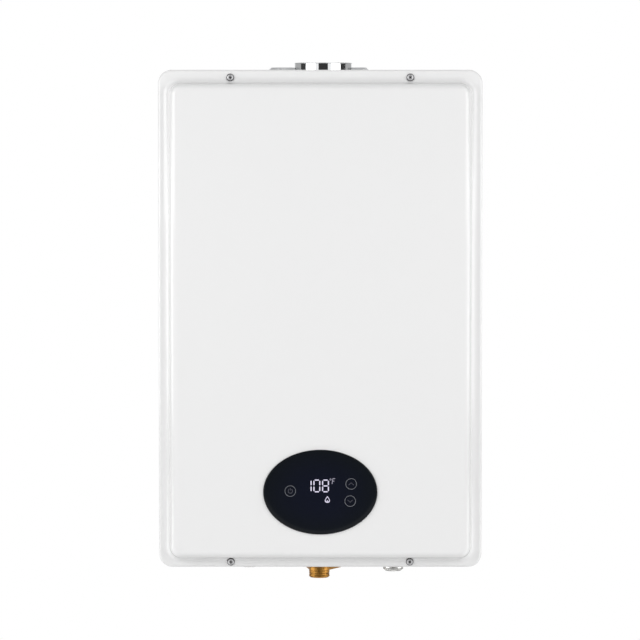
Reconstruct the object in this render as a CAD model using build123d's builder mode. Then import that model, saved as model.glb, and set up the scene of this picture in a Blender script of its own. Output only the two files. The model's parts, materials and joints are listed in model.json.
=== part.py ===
"""Wall-hung, fan-assisted tankless gas water heater with a screwed-on enamel front cover.

Frame: X to the right, Z up, and Y towards the wall. The wall is the plane y = 0 and the
user stands on the -Y side. The origin is on the wall plane, level with the middle of the
cover. "Depth" is a distance in front of the wall, so a point at depth d has y = -d.
All sizes are in millimetres.
"""

from build123d import *
from math import cos, radians, sin, tan
import os

os.makedirs("parts", exist_ok=True)

# ------------------------------------------------------------------ driving dimensions

# front cover
cover_width = 330.0
cover_height = 508.0
cover_corner = 14.0
cover_edge = 2.5
skirt_depth = 108.0
rim_depth = 122.0
face_depth = 140.0
cover_sheet = 0.8
panel_width = 312.6
panel_top = 241.2
panel_bottom = -246.4
panel_corner = 15.0
panel_draft = 15.5
step_radius = 4.5
foot_radius = 2.2
screw_x = 91.5
screw_top = 246.3
screw_bottom = -248.5
screw_head_radius = 3.85
screw_head_rise = 2.3
screw_length = 10.0
screw_radius = 2.0
screw_land = 4.6

# control panel, an ellipse
dial_height = -175.0
dial_width = 116.4
dial_tall = 86.6
glass_proud = 1.8
glass_bevel = 0.7
housing_back = face_depth - 14.0
housing_wall = 2.0
housing_rim = 1.5
board_depth = housing_back + 5.0
board_sheet = 1.6
key_radius = 3.4
key_points = [(-30.5, dial_height), (30.6, dial_height + 7), (30.1, dial_height - 10)]

# sheet metal case
sheet = 1.0
case_gap = 0.4
case_width = cover_width - 2 * cover_sheet - 2 * case_gap
case_top = cover_height / 2 - cover_sheet - case_gap
case_half = case_top - sheet
case_depth = rim_depth - cover_sheet
case_corner = cover_corner - cover_sheet - case_gap
shoulder = case_top - case_corner
case_bend = 1.6
lip_side = 12.0
lip_end = 15.0
wall_hole_x = 220.0
wall_hole_z = 460.0
wall_hole_radius = 3.5
slot_width = 3.2
slot_pitch = 9.0

# flue
flue_x = 3.0
flue_depth = 61.0
flue_radius = 30.0
flue_wall = 0.8
flue_top = 261.7
flange_shift = -4.5
flange_width = 106.0
flange_tall = 78.0
flange_plate = 92.0
flange_screw_x = 42.0
flange_screw_y = 42.3
flange_rise = 4.0
tapping_radius = 1.7
tapping_head = 2.8
gasket = 2.0
collar_foot = (76.0, 66.0)

# fittings under the case, half inch pipe thread
thread_radius = 10.65
neck_radius = 10.3
pipe_bore = 7.5
gas_x = -1.0
gas_depth = 72.0
gas_bottom = -270.5
gas_turn = 50.0
ear_spread = 60.0
ear_reach = 27.0
ear_radius = 5.5
ear_hole = 2.0
flange_core = 11.3
flange_thick = 5.0
cold_x = 75.7
cold_depth = 61.0
cold_bottom = -265.0
hot_x = -74.0
hot_depth = 35.0
hot_bottom = -264.0
thread_lead = 2.2
locknut = 4.0
nut_flat = 13.5
nipple_flat = 8.0
tail_radius = 9.5
tail_top = -230.0
drain_x = 112.0
drain_depth = cold_depth
drain_knob = 8.0
drain_stem = 4.0
gland_x = -122.0
gland_depth = 61.0
gland_flat = 9.0
gland_hole = 6.2
cord_radius = 3.5

# exhaust fan
fan_x = -39.0
fan_height = 184.0
fan_inlet = 28.0
impeller_radius = 42.0
impeller_back = 44.0
impeller_sheet = 1.2
blade_count = 12
blade_depth = 33.0
blade_sheet = 1.2
tongue = 73.0
scroll_front = 84.0
scroll_back = 38.0
scroll_sheet = 1.2
scroll_start = 47.0
scroll_end = 70.0
outlet_top = 234.0
collar_base = outlet_top + gasket
motor_depth = 90.0
motor_radius = 26.0
motor_length = 22.0
motor_foot = 1.6
bush_circle = 33.0
bush_radius = 5.0
bush_stud = 1.8
shaft_radius = 3.0
fit = 0.05
duct_half = 44.0
duct_top = 230.0

# combustion stack: burner below, heat exchanger above, smoke hood on top
stack_width = 190.0
stack_front = 96.0
stack_back = 20.0
burner_bottom = -60.0
exchanger_top = 105.0
hood_top = 118.0
hood_back = 8.0
tube_radius = 6.5
tube_count = 5
tube_pitch = 15.0
tube_height = 85.0
tube_reach = 98.0
fin_count = 15
fin_sheet = 0.6
fin_low = 70.0
fin_high = 100.0
bar_count = 9
bar_pitch = 20.0
bar_length = 64.0

# gas train
valve_left = -44.0
valve_right = 38.0
valve_back = 50.0
valve_front = 98.0
valve_bottom = -178.0
valve_top = -128.0
seat_height = valve_top - 14.0
seat_radius = 8.0
spring_radius = 7.5
coil_top = -98.0
main_coil_x = -24.0
trim_coil_x = 18.0
coil_depth = 74.0
plunger_radius = 4.5
valve_travel = 3.0
manifold_height = -46.0
manifold_half = 7.0
manifold_back = 102.0
manifold_front = 116.0
nozzle_flat = 4.0

# water train
sensor_bottom = tail_top
sensor_top = -184.0
sensor_radius = 12.0
sensor_bore = 8.4
turbine_low = -217.0
turbine_high = -203.0
axle_radius = 1.0
pipe_side = 120.0

# electrical parts
box_left = -148.0
box_right = -66.0
box_low = -224.0
box_high = -106.0
box_back = 86.0
box_front = 112.0
box_wall = 2.0
igniter_right = -132.0
switch_x = 104.0
switch_height = 190.0
switch_depth = 53.5

standing = (Align.CENTER, Align.CENTER, Align.MIN)
hanging = (Align.CENTER, Align.CENTER, Align.MAX)


# ------------------------------------------------------------------------- helpers

def front(depth):
    """Plane parallel to the wall at this depth; it faces the user."""
    return Plane.XZ.offset(depth)


def level(height):
    """Horizontal plane at this height, facing up."""
    return Plane.XY.offset(height)


def middle(low, high):
    """Half way between two values."""
    return (low + high) / 2


def block(x_range, depth_range, z_range, mode=Mode.ADD):
    """Add a box that fills these ranges; depths count from the wall."""
    centre = (middle(*x_range), -middle(*depth_range), middle(*z_range))
    with Locations(centre):
        Box(
            x_range[1] - x_range[0],
            depth_range[1] - depth_range[0],
            z_range[1] - z_range[0],
            mode=mode,
        )


def dial_radii(inset):
    """Both radii of the control panel's ellipse, moved in by inset."""
    return (dial_width / 2 - inset, dial_tall / 2 - inset)


def bent_pipe(points, bend_radius, radius):
    """A round bar that runs through the points, with its corners bent to bend_radius."""
    start = Vector(*points[0])
    with BuildPart() as pipe:
        with BuildLine() as route:
            FilletPolyline(*points, radius=bend_radius)
        with BuildSketch(Plane(origin=start, z_dir=Vector(*points[1]) - start)):
            Circle(radius)
        sweep(path=route.line)
    return pipe.part


# --------------------------------------------------------------------- front cover

screw_points = [(x, z) for z in (screw_top, screw_bottom) for x in (-screw_x, screw_x)]
panel_centre = middle(panel_bottom, panel_top)
panel_height = panel_top - panel_bottom


def cover_form(inset):
    """The pressed form of the cover as a solid, with all its faces moved in by inset."""
    draft = radians(panel_draft)
    foot_inset = inset / cos(draft) - inset * tan(draft)
    half_foot = panel_width / 2 + 1.5
    rim = rim_depth - inset
    with BuildPart() as form:
        with BuildSketch(front(skirt_depth)):
            RectangleRounded(
                cover_width - 2 * inset, cover_height - 2 * inset, cover_corner - inset
            )
        extrude(amount=rim - skirt_depth)
        fillet(form.faces().sort_by(Axis.Y)[0].edges(), cover_edge - inset)
        with BuildSketch(front(rim)):
            with Locations((0, panel_centre)):
                RectangleRounded(
                    panel_width - 2 * foot_inset,
                    panel_height - 2 * foot_inset,
                    panel_corner - foot_inset,
                )
        extrude(amount=face_depth - rim_depth, taper=panel_draft)
        fillet(form.faces().sort_by(Axis.Y)[0].edges(), step_radius - inset)
        foot = form.edges().filter_by_position(Axis.Y, -rim - 0.01, -rim + 0.01)
        foot = foot.filter_by(lambda edge: abs(edge.center().X) < half_foot)
        foot = foot.filter_by(
            lambda edge: abs(edge.center().Z - panel_centre) < panel_height / 2 + 1.5
        )
        fillet(foot, foot_radius + inset)
        with BuildSketch(front(rim)):
            with Locations(*screw_points):
                Circle(screw_land + inset)
        extrude(amount=face_depth, mode=Mode.SUBTRACT)
    return form.part


cover_outside = cover_form(0)
cover_inside = cover_form(cover_sheet)
with BuildPart() as front_cover:
    add(cover_outside)
    add(cover_inside, mode=Mode.SUBTRACT)
    with BuildSketch(front(rim_depth - 2 * cover_sheet)):
        with Locations(*screw_points):
            Circle(screw_radius + 0.3)
    extrude(amount=3 * cover_sheet, mode=Mode.SUBTRACT)
    with BuildSketch(front(face_depth - 2 * cover_sheet)):
        with Locations((0, dial_height)):
            Ellipse(*dial_radii(3.2))
    extrude(amount=3 * cover_sheet, mode=Mode.SUBTRACT)
front_cover.part.label = "front_cover"
export_step(front_cover.part, "parts/front_cover.step")

with BuildPart() as cover_screws:
    with BuildSketch(front(rim_depth)):
        with Locations(*screw_points):
            Circle(screw_head_radius)
    extrude(amount=screw_head_rise)
    chamfer(cover_screws.faces().group_by(Axis.Y)[0].edges(), 0.9)
    with BuildSketch(front(rim_depth - screw_length)):
        with Locations(*screw_points):
            Circle(screw_radius)
    extrude(amount=screw_length)
cover_screws.part.label = "cover_screws"
export_step(cover_screws.part, "parts/cover_screws.step")

# ------------------------------------------------------------------- control panel

with BuildPart() as panel_glass:
    with BuildSketch(front(face_depth)):
        with Locations((0, dial_height)):
            Ellipse(*dial_radii(0))
    extrude(amount=glass_proud)
    chamfer(panel_glass.faces().sort_by(Axis.Y)[0].edges(), glass_bevel)
panel_glass.part.label = "panel_glass"
export_step(panel_glass.part, "parts/panel_glass.step")

with BuildPart() as panel_housing:
    with BuildSketch(front(housing_back)):
        with Locations((0, dial_height)):
            Ellipse(*dial_radii(3.6))
    extrude(amount=face_depth - housing_back)
    with BuildSketch(front(face_depth - cover_sheet - housing_rim)):
        with Locations((0, dial_height)):
            Ellipse(*dial_radii(-3))
    extrude(amount=housing_rim)
    with BuildSketch(front(housing_back + board_sheet)):
        with Locations((0, dial_height)):
            Ellipse(*dial_radii(3.6 + housing_wall))
    extrude(amount=face_depth, mode=Mode.SUBTRACT)
    with BuildSketch(front(housing_back + 1)):
        with Locations((0, dial_height)):
            with GridLocations(60, 30, 2, 2):
                Rectangle(6, 6)
    extrude(amount=4)
panel_housing.part.label = "panel_housing"
export_step(panel_housing.part, "parts/panel_housing.step")

with BuildPart() as display_board:
    with BuildSketch(front(board_depth)):
        with Locations((0, dial_height)):
            Ellipse(*dial_radii(8))
    extrude(amount=board_sheet)
    block((-34, -20), (board_depth - 2, board_depth), (dial_height - 7, dial_height + 7))
    block((16, 34), (board_depth - 3, board_depth), (dial_height - 9, dial_height - 3))
    with BuildSketch(front(board_depth + board_sheet)):
        with Locations(*key_points):
            Circle(key_radius)
    extrude(amount=face_depth - board_depth - board_sheet)
display_board.part.label = "display_board"
export_step(display_board.part, "parts/display_board.step")

with BuildPart() as led_display:
    module_front = face_depth - 0.2
    module_back = board_depth + board_sheet
    block((-14, 14), (module_back, module_front), (dial_height - 3, dial_height + 15))
    block((0, 14), (module_back, module_front), (dial_height - 15, dial_height - 3))
led_display.part.label = "led_display"
export_step(led_display.part, "parts/led_display.step")

# ---------------------------------------------------------------- sheet metal case

def case_ring():
    """The case's four walls and front lip as one rounded frame, before it is cut in three."""
    with BuildPart() as ring:
        with BuildSketch(front(sheet)):
            RectangleRounded(case_width, 2 * case_top, case_corner)
            RectangleRounded(
                case_width - 2 * sheet, 2 * case_half, case_corner - sheet, mode=Mode.SUBTRACT
            )
        extrude(amount=case_depth - sheet)
        with BuildSketch(front(case_depth - sheet)):
            RectangleRounded(case_width, 2 * case_top, case_corner)
            Rectangle(
                case_width - 2 * lip_side, 2 * (case_top - lip_end), mode=Mode.SUBTRACT
            )
        extrude(amount=sheet)
        fillet(ring.faces().sort_by(Axis.Y)[0].outer_wire().edges(), case_bend)
    return ring.part


case_frame = case_ring()
with BuildPart() as case_shell:
    add(case_frame)
    split(bisect_by=level(shoulder), keep=Keep.BOTTOM)
    split(bisect_by=level(-shoulder), keep=Keep.TOP)
    with BuildSketch(front(0)):
        RectangleRounded(case_width, 2 * case_top, case_corner)
        with GridLocations(wall_hole_x, wall_hole_z, 2, 2):
            Circle(wall_hole_radius, mode=Mode.SUBTRACT)
    extrude(amount=sheet)
    with BuildSketch(Plane.YZ.offset(-case_width / 2)):
        with Locations((-case_depth / 2, -205)):
            with GridLocations(0, slot_pitch, 1, 7):
                Rectangle(46, slot_width)
    extrude(amount=case_width, mode=Mode.SUBTRACT)
case_shell.part.label = "case_shell"
export_step(case_shell.part, "parts/case_shell.step")

flange_screw_points = [
    (flue_x + x, -flue_depth + y)
    for x in (-flange_screw_x, flange_screw_x)
    for y in (-flange_screw_y, flange_screw_y)
]
with BuildPart() as top_panel:
    add(case_frame)
    split(bisect_by=level(shoulder), keep=Keep.TOP)
    with BuildSketch(level(case_half - sheet)):
        with Locations((flue_x, -flue_depth)):
            Circle(flue_radius + 2)
        with Locations(*flange_screw_points):
            Circle(tapping_radius)
    extrude(amount=3 * sheet, mode=Mode.SUBTRACT)
    with BuildSketch(front(case_depth - 2 * sheet)):
        with Locations(*screw_points[:2]):
            Circle(screw_radius)
    extrude(amount=3 * sheet, mode=Mode.SUBTRACT)
top_panel.part.label = "top_panel"
export_step(top_panel.part, "parts/top_panel.step")

ear_turns = (0, radians(ear_spread))
ear_points = [(ear_reach * cos(turn), ear_reach * sin(turn)) for turn in ear_turns]


def gas_plane(height):
    """Level plane on the gas inlet's axis, turned so that X runs through the first ear."""
    turned = (cos(radians(gas_turn)), sin(radians(gas_turn)), 0)
    return Plane(origin=(gas_x, -gas_depth, height), x_dir=turned, z_dir=(0, 0, 1))


with BuildPart() as bottom_panel:
    add(case_frame)
    split(bisect_by=level(-shoulder), keep=Keep.BOTTOM)
    with BuildSketch(level(-case_top - sheet)):
        with Locations((cold_x, -cold_depth), (hot_x, -hot_depth)):
            Circle(neck_radius + 0.3)
        with Locations((drain_x, -drain_depth), (gland_x, -gland_depth)):
            Circle(gland_hole)
        with Locations((-36, -20), (40, -20), (-100, -98), (100, -98)):
            with GridLocations(slot_pitch, 0, 5, 1):
                Rectangle(slot_width, 24)
    extrude(amount=3 * sheet, mode=Mode.SUBTRACT)
    with BuildSketch(gas_plane(-case_top - sheet)):
        Circle(pipe_bore)
        with Locations(*ear_points):
            Circle(ear_hole)
    extrude(amount=3 * sheet, mode=Mode.SUBTRACT)
    with BuildSketch(front(case_depth - 2 * sheet)):
        with Locations(*screw_points[2:]):
            Circle(screw_radius)
    extrude(amount=3 * sheet, mode=Mode.SUBTRACT)
bottom_panel.part.label = "bottom_panel"
export_step(bottom_panel.part, "parts/bottom_panel.step")

with BuildPart() as wall_brackets:
    with BuildSketch(front(sheet)):
        with GridLocations(0, wall_hole_z, 1, 2):
            RectangleRounded(wall_hole_x + 30, 24, 4)
        with GridLocations(wall_hole_x, wall_hole_z, 2, 2):
            Circle(wall_hole_radius, mode=Mode.SUBTRACT)
    extrude(amount=1.5)
wall_brackets.part.label = "wall_brackets"
export_step(wall_brackets.part, "parts/wall_brackets.step")

# --------------------------------------------------------------------------- flue

def flange_form(inset):
    """The raised middle of the pressed flue flange, with its faces moved in by inset."""
    with BuildPart() as form:
        with BuildSketch(level(case_top)):
            with Locations((flue_x + flange_shift, -flue_depth)):
                RectangleRounded(flange_width - 2 * inset, flange_tall - 2 * inset, 8)
        extrude(amount=flange_rise - inset, taper=45)
    return form.part


flange_outside = flange_form(0)
flange_inside = flange_form(1.0)
with BuildPart() as flue_flange:
    with BuildSketch(level(case_top)):
        with Locations((flue_x + flange_shift, -flue_depth)):
            RectangleRounded(flange_width, flange_plate, 6)
    extrude(amount=1.0)
    add(flange_outside)
    add(flange_inside, mode=Mode.SUBTRACT)
    with BuildSketch(level(case_top)):
        with Locations((flue_x, -flue_depth)):
            Circle(flue_radius + 0.2)
        with Locations(*flange_screw_points):
            Circle(tapping_radius)
    extrude(amount=10, mode=Mode.SUBTRACT)
flue_flange.part.label = "flue_flange"
export_step(flue_flange.part, "parts/flue_flange.step")

with BuildPart() as flange_screws:
    with BuildSketch(level(case_top + 1.0)):
        with Locations(*flange_screw_points):
            Circle(tapping_head)
    extrude(amount=1.5)
    with BuildSketch(level(case_top - 7)):
        with Locations(*flange_screw_points):
            Circle(tapping_radius)
    extrude(amount=8)
flange_screws.part.label = "flange_screws"
export_step(flange_screws.part, "parts/flange_screws.step")

with BuildPart() as flue_collar:
    with BuildSketch(level(collar_base)):
        with Locations((flue_x, -flue_depth)):
            RectangleRounded(*collar_foot, 6)
    extrude(amount=1.2)
    with BuildSketch(level(collar_base)):
        with Locations((flue_x, -flue_depth)):
            Circle(flue_radius)
    extrude(amount=flue_top - collar_base)
    with BuildSketch(level(collar_base)):
        with Locations((flue_x, -flue_depth)):
            Circle(flue_radius - flue_wall)
    extrude(amount=flue_top, mode=Mode.SUBTRACT)
flue_collar.part.label = "flue_collar"
export_step(flue_collar.part, "parts/flue_collar.step")

with BuildPart() as flue_gasket:
    with BuildSketch(level(outlet_top)):
        with Locations((flue_x, -flue_depth)):
            RectangleRounded(*collar_foot, 6)
            Rectangle(54, 42, mode=Mode.SUBTRACT)
    extrude(amount=gasket)
flue_gasket.part.label = "flue_gasket"
export_step(flue_gasket.part, "parts/flue_gasket.step")

# --------------------------------------------------------------------- exhaust fan

fan_axis = Plane(origin=(fan_x, 0, fan_height), x_dir=(1, 0, 0), z_dir=(0, -1, 0))


def scroll_point(angle, growth):
    """Point of the spiral wall, as seen from the front, at this angle round the fan."""
    share = (angle - tongue) / (360 - tongue)
    radius = scroll_start + (scroll_end - scroll_start) * share + growth
    return (fan_x + radius * cos(radians(angle)), fan_height + radius * sin(radians(angle)))


def scroll_outline(growth):
    """The fan housing's outline: a spiral that opens into the duct to the flue."""
    left = scroll_point(tongue, growth)
    right = scroll_point(360, growth)
    quarter = (360 - tongue) / 4
    with BuildSketch() as outline:
        with BuildLine():
            for step in range(4):
                angles = [tongue + quarter * (step + part) for part in (0, 0.5, 1)]
                ThreePointArc(*[scroll_point(angle, growth) for angle in angles])
            Polyline(right, (right[0], outlet_top), (left[0], outlet_top), left)
        make_face()
    return outline.sketch


scroll_bore = scroll_outline(0)
scroll_skin = scroll_outline(scroll_sheet)
with BuildPart() as fan_scroll:
    with BuildSketch(front(scroll_back)):
        add(scroll_skin)
    extrude(amount=scroll_front - scroll_back)
    with BuildSketch(front(scroll_back + scroll_sheet)):
        add(scroll_bore)
    extrude(amount=scroll_front, mode=Mode.SUBTRACT)
    with BuildSketch(fan_axis.offset(scroll_back)):
        Circle(fan_inlet)
    extrude(amount=2 * scroll_sheet, mode=Mode.SUBTRACT)
fan_scroll.part.label = "fan_scroll"
export_step(fan_scroll.part, "parts/fan_scroll.step")

with BuildPart() as fan_lid:
    with BuildSketch(front(scroll_front)):
        add(scroll_skin)
    extrude(amount=scroll_sheet)
    with BuildSketch(fan_axis.offset(scroll_front)):
        Circle(9)
    extrude(amount=2 * scroll_sheet, mode=Mode.SUBTRACT)
fan_lid.part.label = "fan_lid"
export_step(fan_lid.part, "parts/fan_lid.step")

with BuildSketch() as blade:
    with BuildLine():
        ThreePointArc((27, 0), (35, 2.6), (41.4, 8))
    trace(line_width=blade_sheet)

blade_back = impeller_back + impeller_sheet
with BuildPart() as fan_impeller:
    with BuildSketch(fan_axis.offset(impeller_back)):
        Circle(impeller_radius)
        Circle(30, mode=Mode.SUBTRACT)
    extrude(amount=impeller_sheet)
    with BuildSketch(fan_axis.offset(blade_back)):
        with PolarLocations(0, blade_count):
            add(blade.sketch)
    extrude(amount=blade_depth)
    with BuildSketch(fan_axis.offset(blade_back + blade_depth)):
        Circle(impeller_radius)
    extrude(amount=impeller_sheet)
    with BuildSketch(fan_axis.offset(66)):
        Circle(8)
    extrude(amount=15)
    with BuildSketch(fan_axis.offset(60)):
        Circle(shaft_radius)
    extrude(amount=42)
fan_impeller.part.label = "fan_impeller"
export_step(fan_impeller.part, "parts/fan_impeller.step")

with BuildPart() as fan_motor:
    with BuildSketch(fan_axis.offset(motor_depth)):
        Circle(motor_radius)
        with PolarLocations(bush_circle, 3, start_angle=30):
            Circle(6)
        make_hull()
    extrude(amount=motor_foot)
    with BuildSketch(fan_axis.offset(motor_depth)):
        Circle(motor_radius)
    extrude(amount=motor_length)
    chamfer(fan_motor.faces().sort_by(Axis.Y)[0].edges(), 3)
    with BuildSketch(fan_axis.offset(motor_depth + motor_length)):
        Circle(8)
    extrude(amount=4)
    with BuildSketch(fan_axis.offset(motor_depth - 3)):
        Circle(7)
    extrude(amount=4)
    with BuildSketch(fan_axis.offset(motor_depth - 4)):
        Circle(shaft_radius + fit)
    extrude(amount=17, mode=Mode.SUBTRACT)
    with BuildSketch(fan_axis.offset(motor_depth - 1)):
        with PolarLocations(bush_circle, 3, start_angle=30):
            Circle(bush_stud)
    extrude(amount=4, mode=Mode.SUBTRACT)
fan_motor.part.label = "fan_motor"
export_step(fan_motor.part, "parts/fan_motor.step")

with BuildPart() as motor_mounts:
    with BuildSketch(fan_axis.offset(scroll_front + scroll_sheet)):
        with PolarLocations(bush_circle, 3, start_angle=30):
            Circle(bush_radius)
    extrude(amount=motor_depth - scroll_front - scroll_sheet)
    with BuildSketch(fan_axis.offset(motor_depth)):
        with PolarLocations(bush_circle, 3, start_angle=30):
            Circle(bush_stud)
    extrude(amount=motor_foot)
    with BuildSketch(fan_axis.offset(motor_depth + motor_foot)):
        with PolarLocations(bush_circle, 3, start_angle=30):
            RegularPolygon(3.6, 6)
    extrude(amount=2.4)
motor_mounts.part.label = "motor_mounts"
export_step(motor_mounts.part, "parts/motor_mounts.step")

# ---------------------------------------------------------------- combustion stack

half_stack = stack_width / 2
duct_left = fan_x - duct_half
duct_right = fan_x + duct_half
with BuildPart() as smoke_hood:
    block((-half_stack, half_stack), (hood_back, stack_front), (exchanger_top, hood_top))
    block((duct_left, duct_right), (hood_back, scroll_back), (exchanger_top, duct_top))
    block(
        (-half_stack + sheet, half_stack - sheet),
        (hood_back + sheet, stack_front - sheet),
        (exchanger_top + sheet, hood_top - sheet),
        mode=Mode.SUBTRACT,
    )
    block(
        (duct_left + sheet, duct_right - sheet),
        (hood_back + sheet, scroll_back - sheet),
        (exchanger_top + sheet, duct_top - sheet),
        mode=Mode.SUBTRACT,
    )
    block(
        (-half_stack + sheet, half_stack - sheet),
        (stack_back + sheet, stack_front - sheet),
        (exchanger_top - sheet, exchanger_top + 2 * sheet),
        mode=Mode.SUBTRACT,
    )
    with BuildSketch(fan_axis.offset(scroll_back - 2 * sheet)):
        Circle(fan_inlet)
    extrude(amount=3 * sheet, mode=Mode.SUBTRACT)
smoke_hood.part.label = "smoke_hood"
export_step(smoke_hood.part, "parts/smoke_hood.step")

stack_middle = middle(stack_back, stack_front)
tube_depths = [
    stack_middle + tube_pitch * (middle(0, tube_count - 1) - row) for row in range(tube_count)
]
with BuildPart() as exchanger_shell:
    with BuildSketch(level(0)):
        with Locations((0, -stack_middle)):
            Rectangle(stack_width, stack_front - stack_back)
            Rectangle(
                stack_width - 2 * sheet,
                stack_front - stack_back - 2 * sheet,
                mode=Mode.SUBTRACT,
            )
    extrude(amount=exchanger_top)
    with BuildSketch(Plane.YZ.offset(-half_stack)):
        with Locations(*[(-depth, tube_height) for depth in tube_depths]):
            RegularPolygon(tube_radius, 8, major_radius=False)
    extrude(amount=stack_width, mode=Mode.SUBTRACT)
    block((-30, 30), (stack_front - 2, stack_front + 1), (6, 18), mode=Mode.SUBTRACT)
exchanger_shell.part.label = "exchanger_shell"
export_step(exchanger_shell.part, "parts/exchanger_shell.step")

fin_spacing = (stack_width - 2 * sheet - 8) / (fin_count - 1)
with BuildPart() as exchanger_fins:
    for row in range(fin_count):
        fin_x = fin_spacing * (row - middle(0, fin_count - 1))
        with BuildSketch(Plane.YZ.offset(fin_x - fin_sheet / 2)):
            with Locations((-stack_middle, middle(fin_low, fin_high))):
                Rectangle(stack_front - stack_back - 2 * sheet, fin_high - fin_low)
            with Locations(*[(-depth, tube_height) for depth in tube_depths]):
                RegularPolygon(tube_radius, 8, major_radius=False, mode=Mode.SUBTRACT)
        extrude(amount=fin_sheet)
exchanger_fins.part.label = "exchanger_fins"
export_step(exchanger_fins.part, "parts/exchanger_fins.step")

with BuildPart() as exchanger_tubes:
    with BuildLine(level(tube_height)) as serpentine:
        for row, depth in enumerate(tube_depths):
            start_x = tube_reach if row % 2 == 0 else -tube_reach
            Line((start_x, -depth), (-start_x, -depth))
            if row < tube_count - 1:
                outward = -start_x - tube_pitch / 2 if start_x > 0 else -start_x + tube_pitch / 2
                ThreePointArc(
                    (-start_x, -depth),
                    (outward, -depth + tube_pitch / 2),
                    (-start_x, -depth + tube_pitch),
                )
    with BuildSketch(
        Plane(origin=(tube_reach, -tube_depths[0], tube_height), z_dir=(-1, 0, 0))
    ):
        Circle(tube_radius)
    sweep(path=serpentine.line)
exchanger_tubes.part.label = "exchanger_tubes"
export_step(exchanger_tubes.part, "parts/exchanger_tubes.step")

with BuildPart() as burner_frame:
    with BuildSketch(level(burner_bottom)):
        with Locations((0, -stack_middle)):
            Rectangle(stack_width, stack_front - stack_back)
            Rectangle(
                stack_width - 2 * sheet,
                stack_front - stack_back - 2 * sheet,
                mode=Mode.SUBTRACT,
            )
    extrude(amount=-burner_bottom)
    inside = half_stack - sheet / 2
    block((-inside, inside), (84, 90), (burner_bottom, manifold_height - manifold_half))
    block((-inside, inside), (34, 40), (burner_bottom, manifold_height - manifold_half))
    block((-88, 88), (stack_front - 2, stack_front + 1), (-54, -38), mode=Mode.SUBTRACT)
burner_frame.part.label = "burner_frame"
export_step(burner_frame.part, "parts/burner_frame.step")

bar_xs = [bar_pitch * (row - middle(0, bar_count - 1)) for row in range(bar_count)]
with BuildPart() as burner_bars:
    with BuildSketch(front(stack_back + 8)):
        with Locations(*[(x, manifold_height) for x in bar_xs]):
            RegularPolygon(7.0, 8, major_radius=False, rotation=22.5)
        with Locations(*[(x, -30) for x in bar_xs]):
            Rectangle(4, 26)
        with Locations(*[(x, -14) for x in bar_xs]):
            RectangleRounded(11, 14, 3)
    extrude(amount=bar_length)
    with BuildSketch(front(stack_back + 8 + bar_length - 16)):
        with Locations(*[(x, manifold_height) for x in bar_xs]):
            RegularPolygon(5.2, 8, major_radius=False, rotation=22.5)
    extrude(amount=20, mode=Mode.SUBTRACT)
burner_bars.part.label = "burner_bars"
export_step(burner_bars.part, "parts/burner_bars.step")

with BuildPart() as gas_manifold:
    block(
        (-88, 88),
        (manifold_back, manifold_front),
        (manifold_height - manifold_half, manifold_height + manifold_half),
    )
gas_manifold.part.label = "gas_manifold"
export_step(gas_manifold.part, "parts/gas_manifold.step")

with BuildPart() as gas_nozzles:
    with BuildSketch(front(stack_front)):
        with Locations(*[(x, manifold_height) for x in bar_xs]):
            RegularPolygon(nozzle_flat, 6, major_radius=False)
    extrude(amount=6)
    with BuildSketch(front(stack_front - 4)):
        with Locations(*[(x, manifold_height) for x in bar_xs]):
            RegularPolygon(2.2, 8, major_radius=False)
    extrude(amount=4)
gas_nozzles.part.label = "gas_nozzles"
export_step(gas_nozzles.part, "parts/gas_nozzles.step")

electrode_points = [(-18, 12), (0, 12), (18, 12)]
with BuildPart() as electrode_set:
    with BuildSketch(front(stack_front)):
        with Locations((0, 12)):
            RectangleRounded(70, 22, 4)
    extrude(amount=1.2)
    with BuildSketch(front(stack_front - 8)):
        with Locations(*electrode_points):
            Circle(4)
    extrude(amount=26)
    with BuildSketch(front(stack_front - 30)):
        with Locations(*electrode_points):
            Circle(1.2)
    extrude(amount=54)
electrode_set.part.label = "electrode_set"
export_step(electrode_set.part, "parts/electrode_set.step")

bracket_y = -middle(sheet, stack_back)
with BuildPart() as stack_brackets:
    for height in (-30, 45):
        with Locations((-70, bracket_y, height), (70, bracket_y, height)):
            Box(26, stack_back - sheet, 16)
            Box(26, stack_back - 5 * sheet, 12, mode=Mode.SUBTRACT)
stack_brackets.part.label = "stack_brackets"
export_step(stack_brackets.part, "parts/stack_brackets.step")

with BuildPart() as overheat_thermostats:
    with BuildSketch(front(stack_front)):
        with Locations((-62, 50), (62, 50)):
            SlotOverall(26, 9)
    extrude(amount=1.0)
    with BuildSketch(front(stack_front + 1)):
        with Locations((-62, 50), (62, 50)):
            Circle(7.5)
    extrude(amount=7)
overheat_thermostats.part.label = "overheat_thermostats"
export_step(overheat_thermostats.part, "parts/overheat_thermostats.step")

# ----------------------------------------------------------------------- gas train

flange_bottom = -case_top - 2 * flange_thick


def diamond(core, ear):
    """Draw a two-eared flange round the gas inlet's axis."""
    Circle(core)
    with Locations(*ear_points):
        Circle(ear)
    make_hull()


with BuildPart() as gas_inlet:
    with BuildSketch(gas_plane(flange_bottom)):
        diamond(flange_core, ear_radius)
    extrude(amount=flange_thick)
    with BuildSketch(gas_plane(gas_bottom)):
        Circle(thread_radius)
    extrude(amount=flange_bottom - gas_bottom)
    chamfer(gas_inlet.faces().sort_by(Axis.Z)[0].edges(), 1.2)
    with BuildSketch(gas_plane(gas_bottom)):
        Circle(pipe_bore)
    extrude(amount=40, mode=Mode.SUBTRACT)
    with BuildSketch(gas_plane(flange_bottom)):
        with Locations(*ear_points):
            Circle(ear_hole)
    extrude(amount=flange_thick, mode=Mode.SUBTRACT)
gas_inlet.part.label = "gas_inlet"
export_step(gas_inlet.part, "parts/gas_inlet.step")

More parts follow.
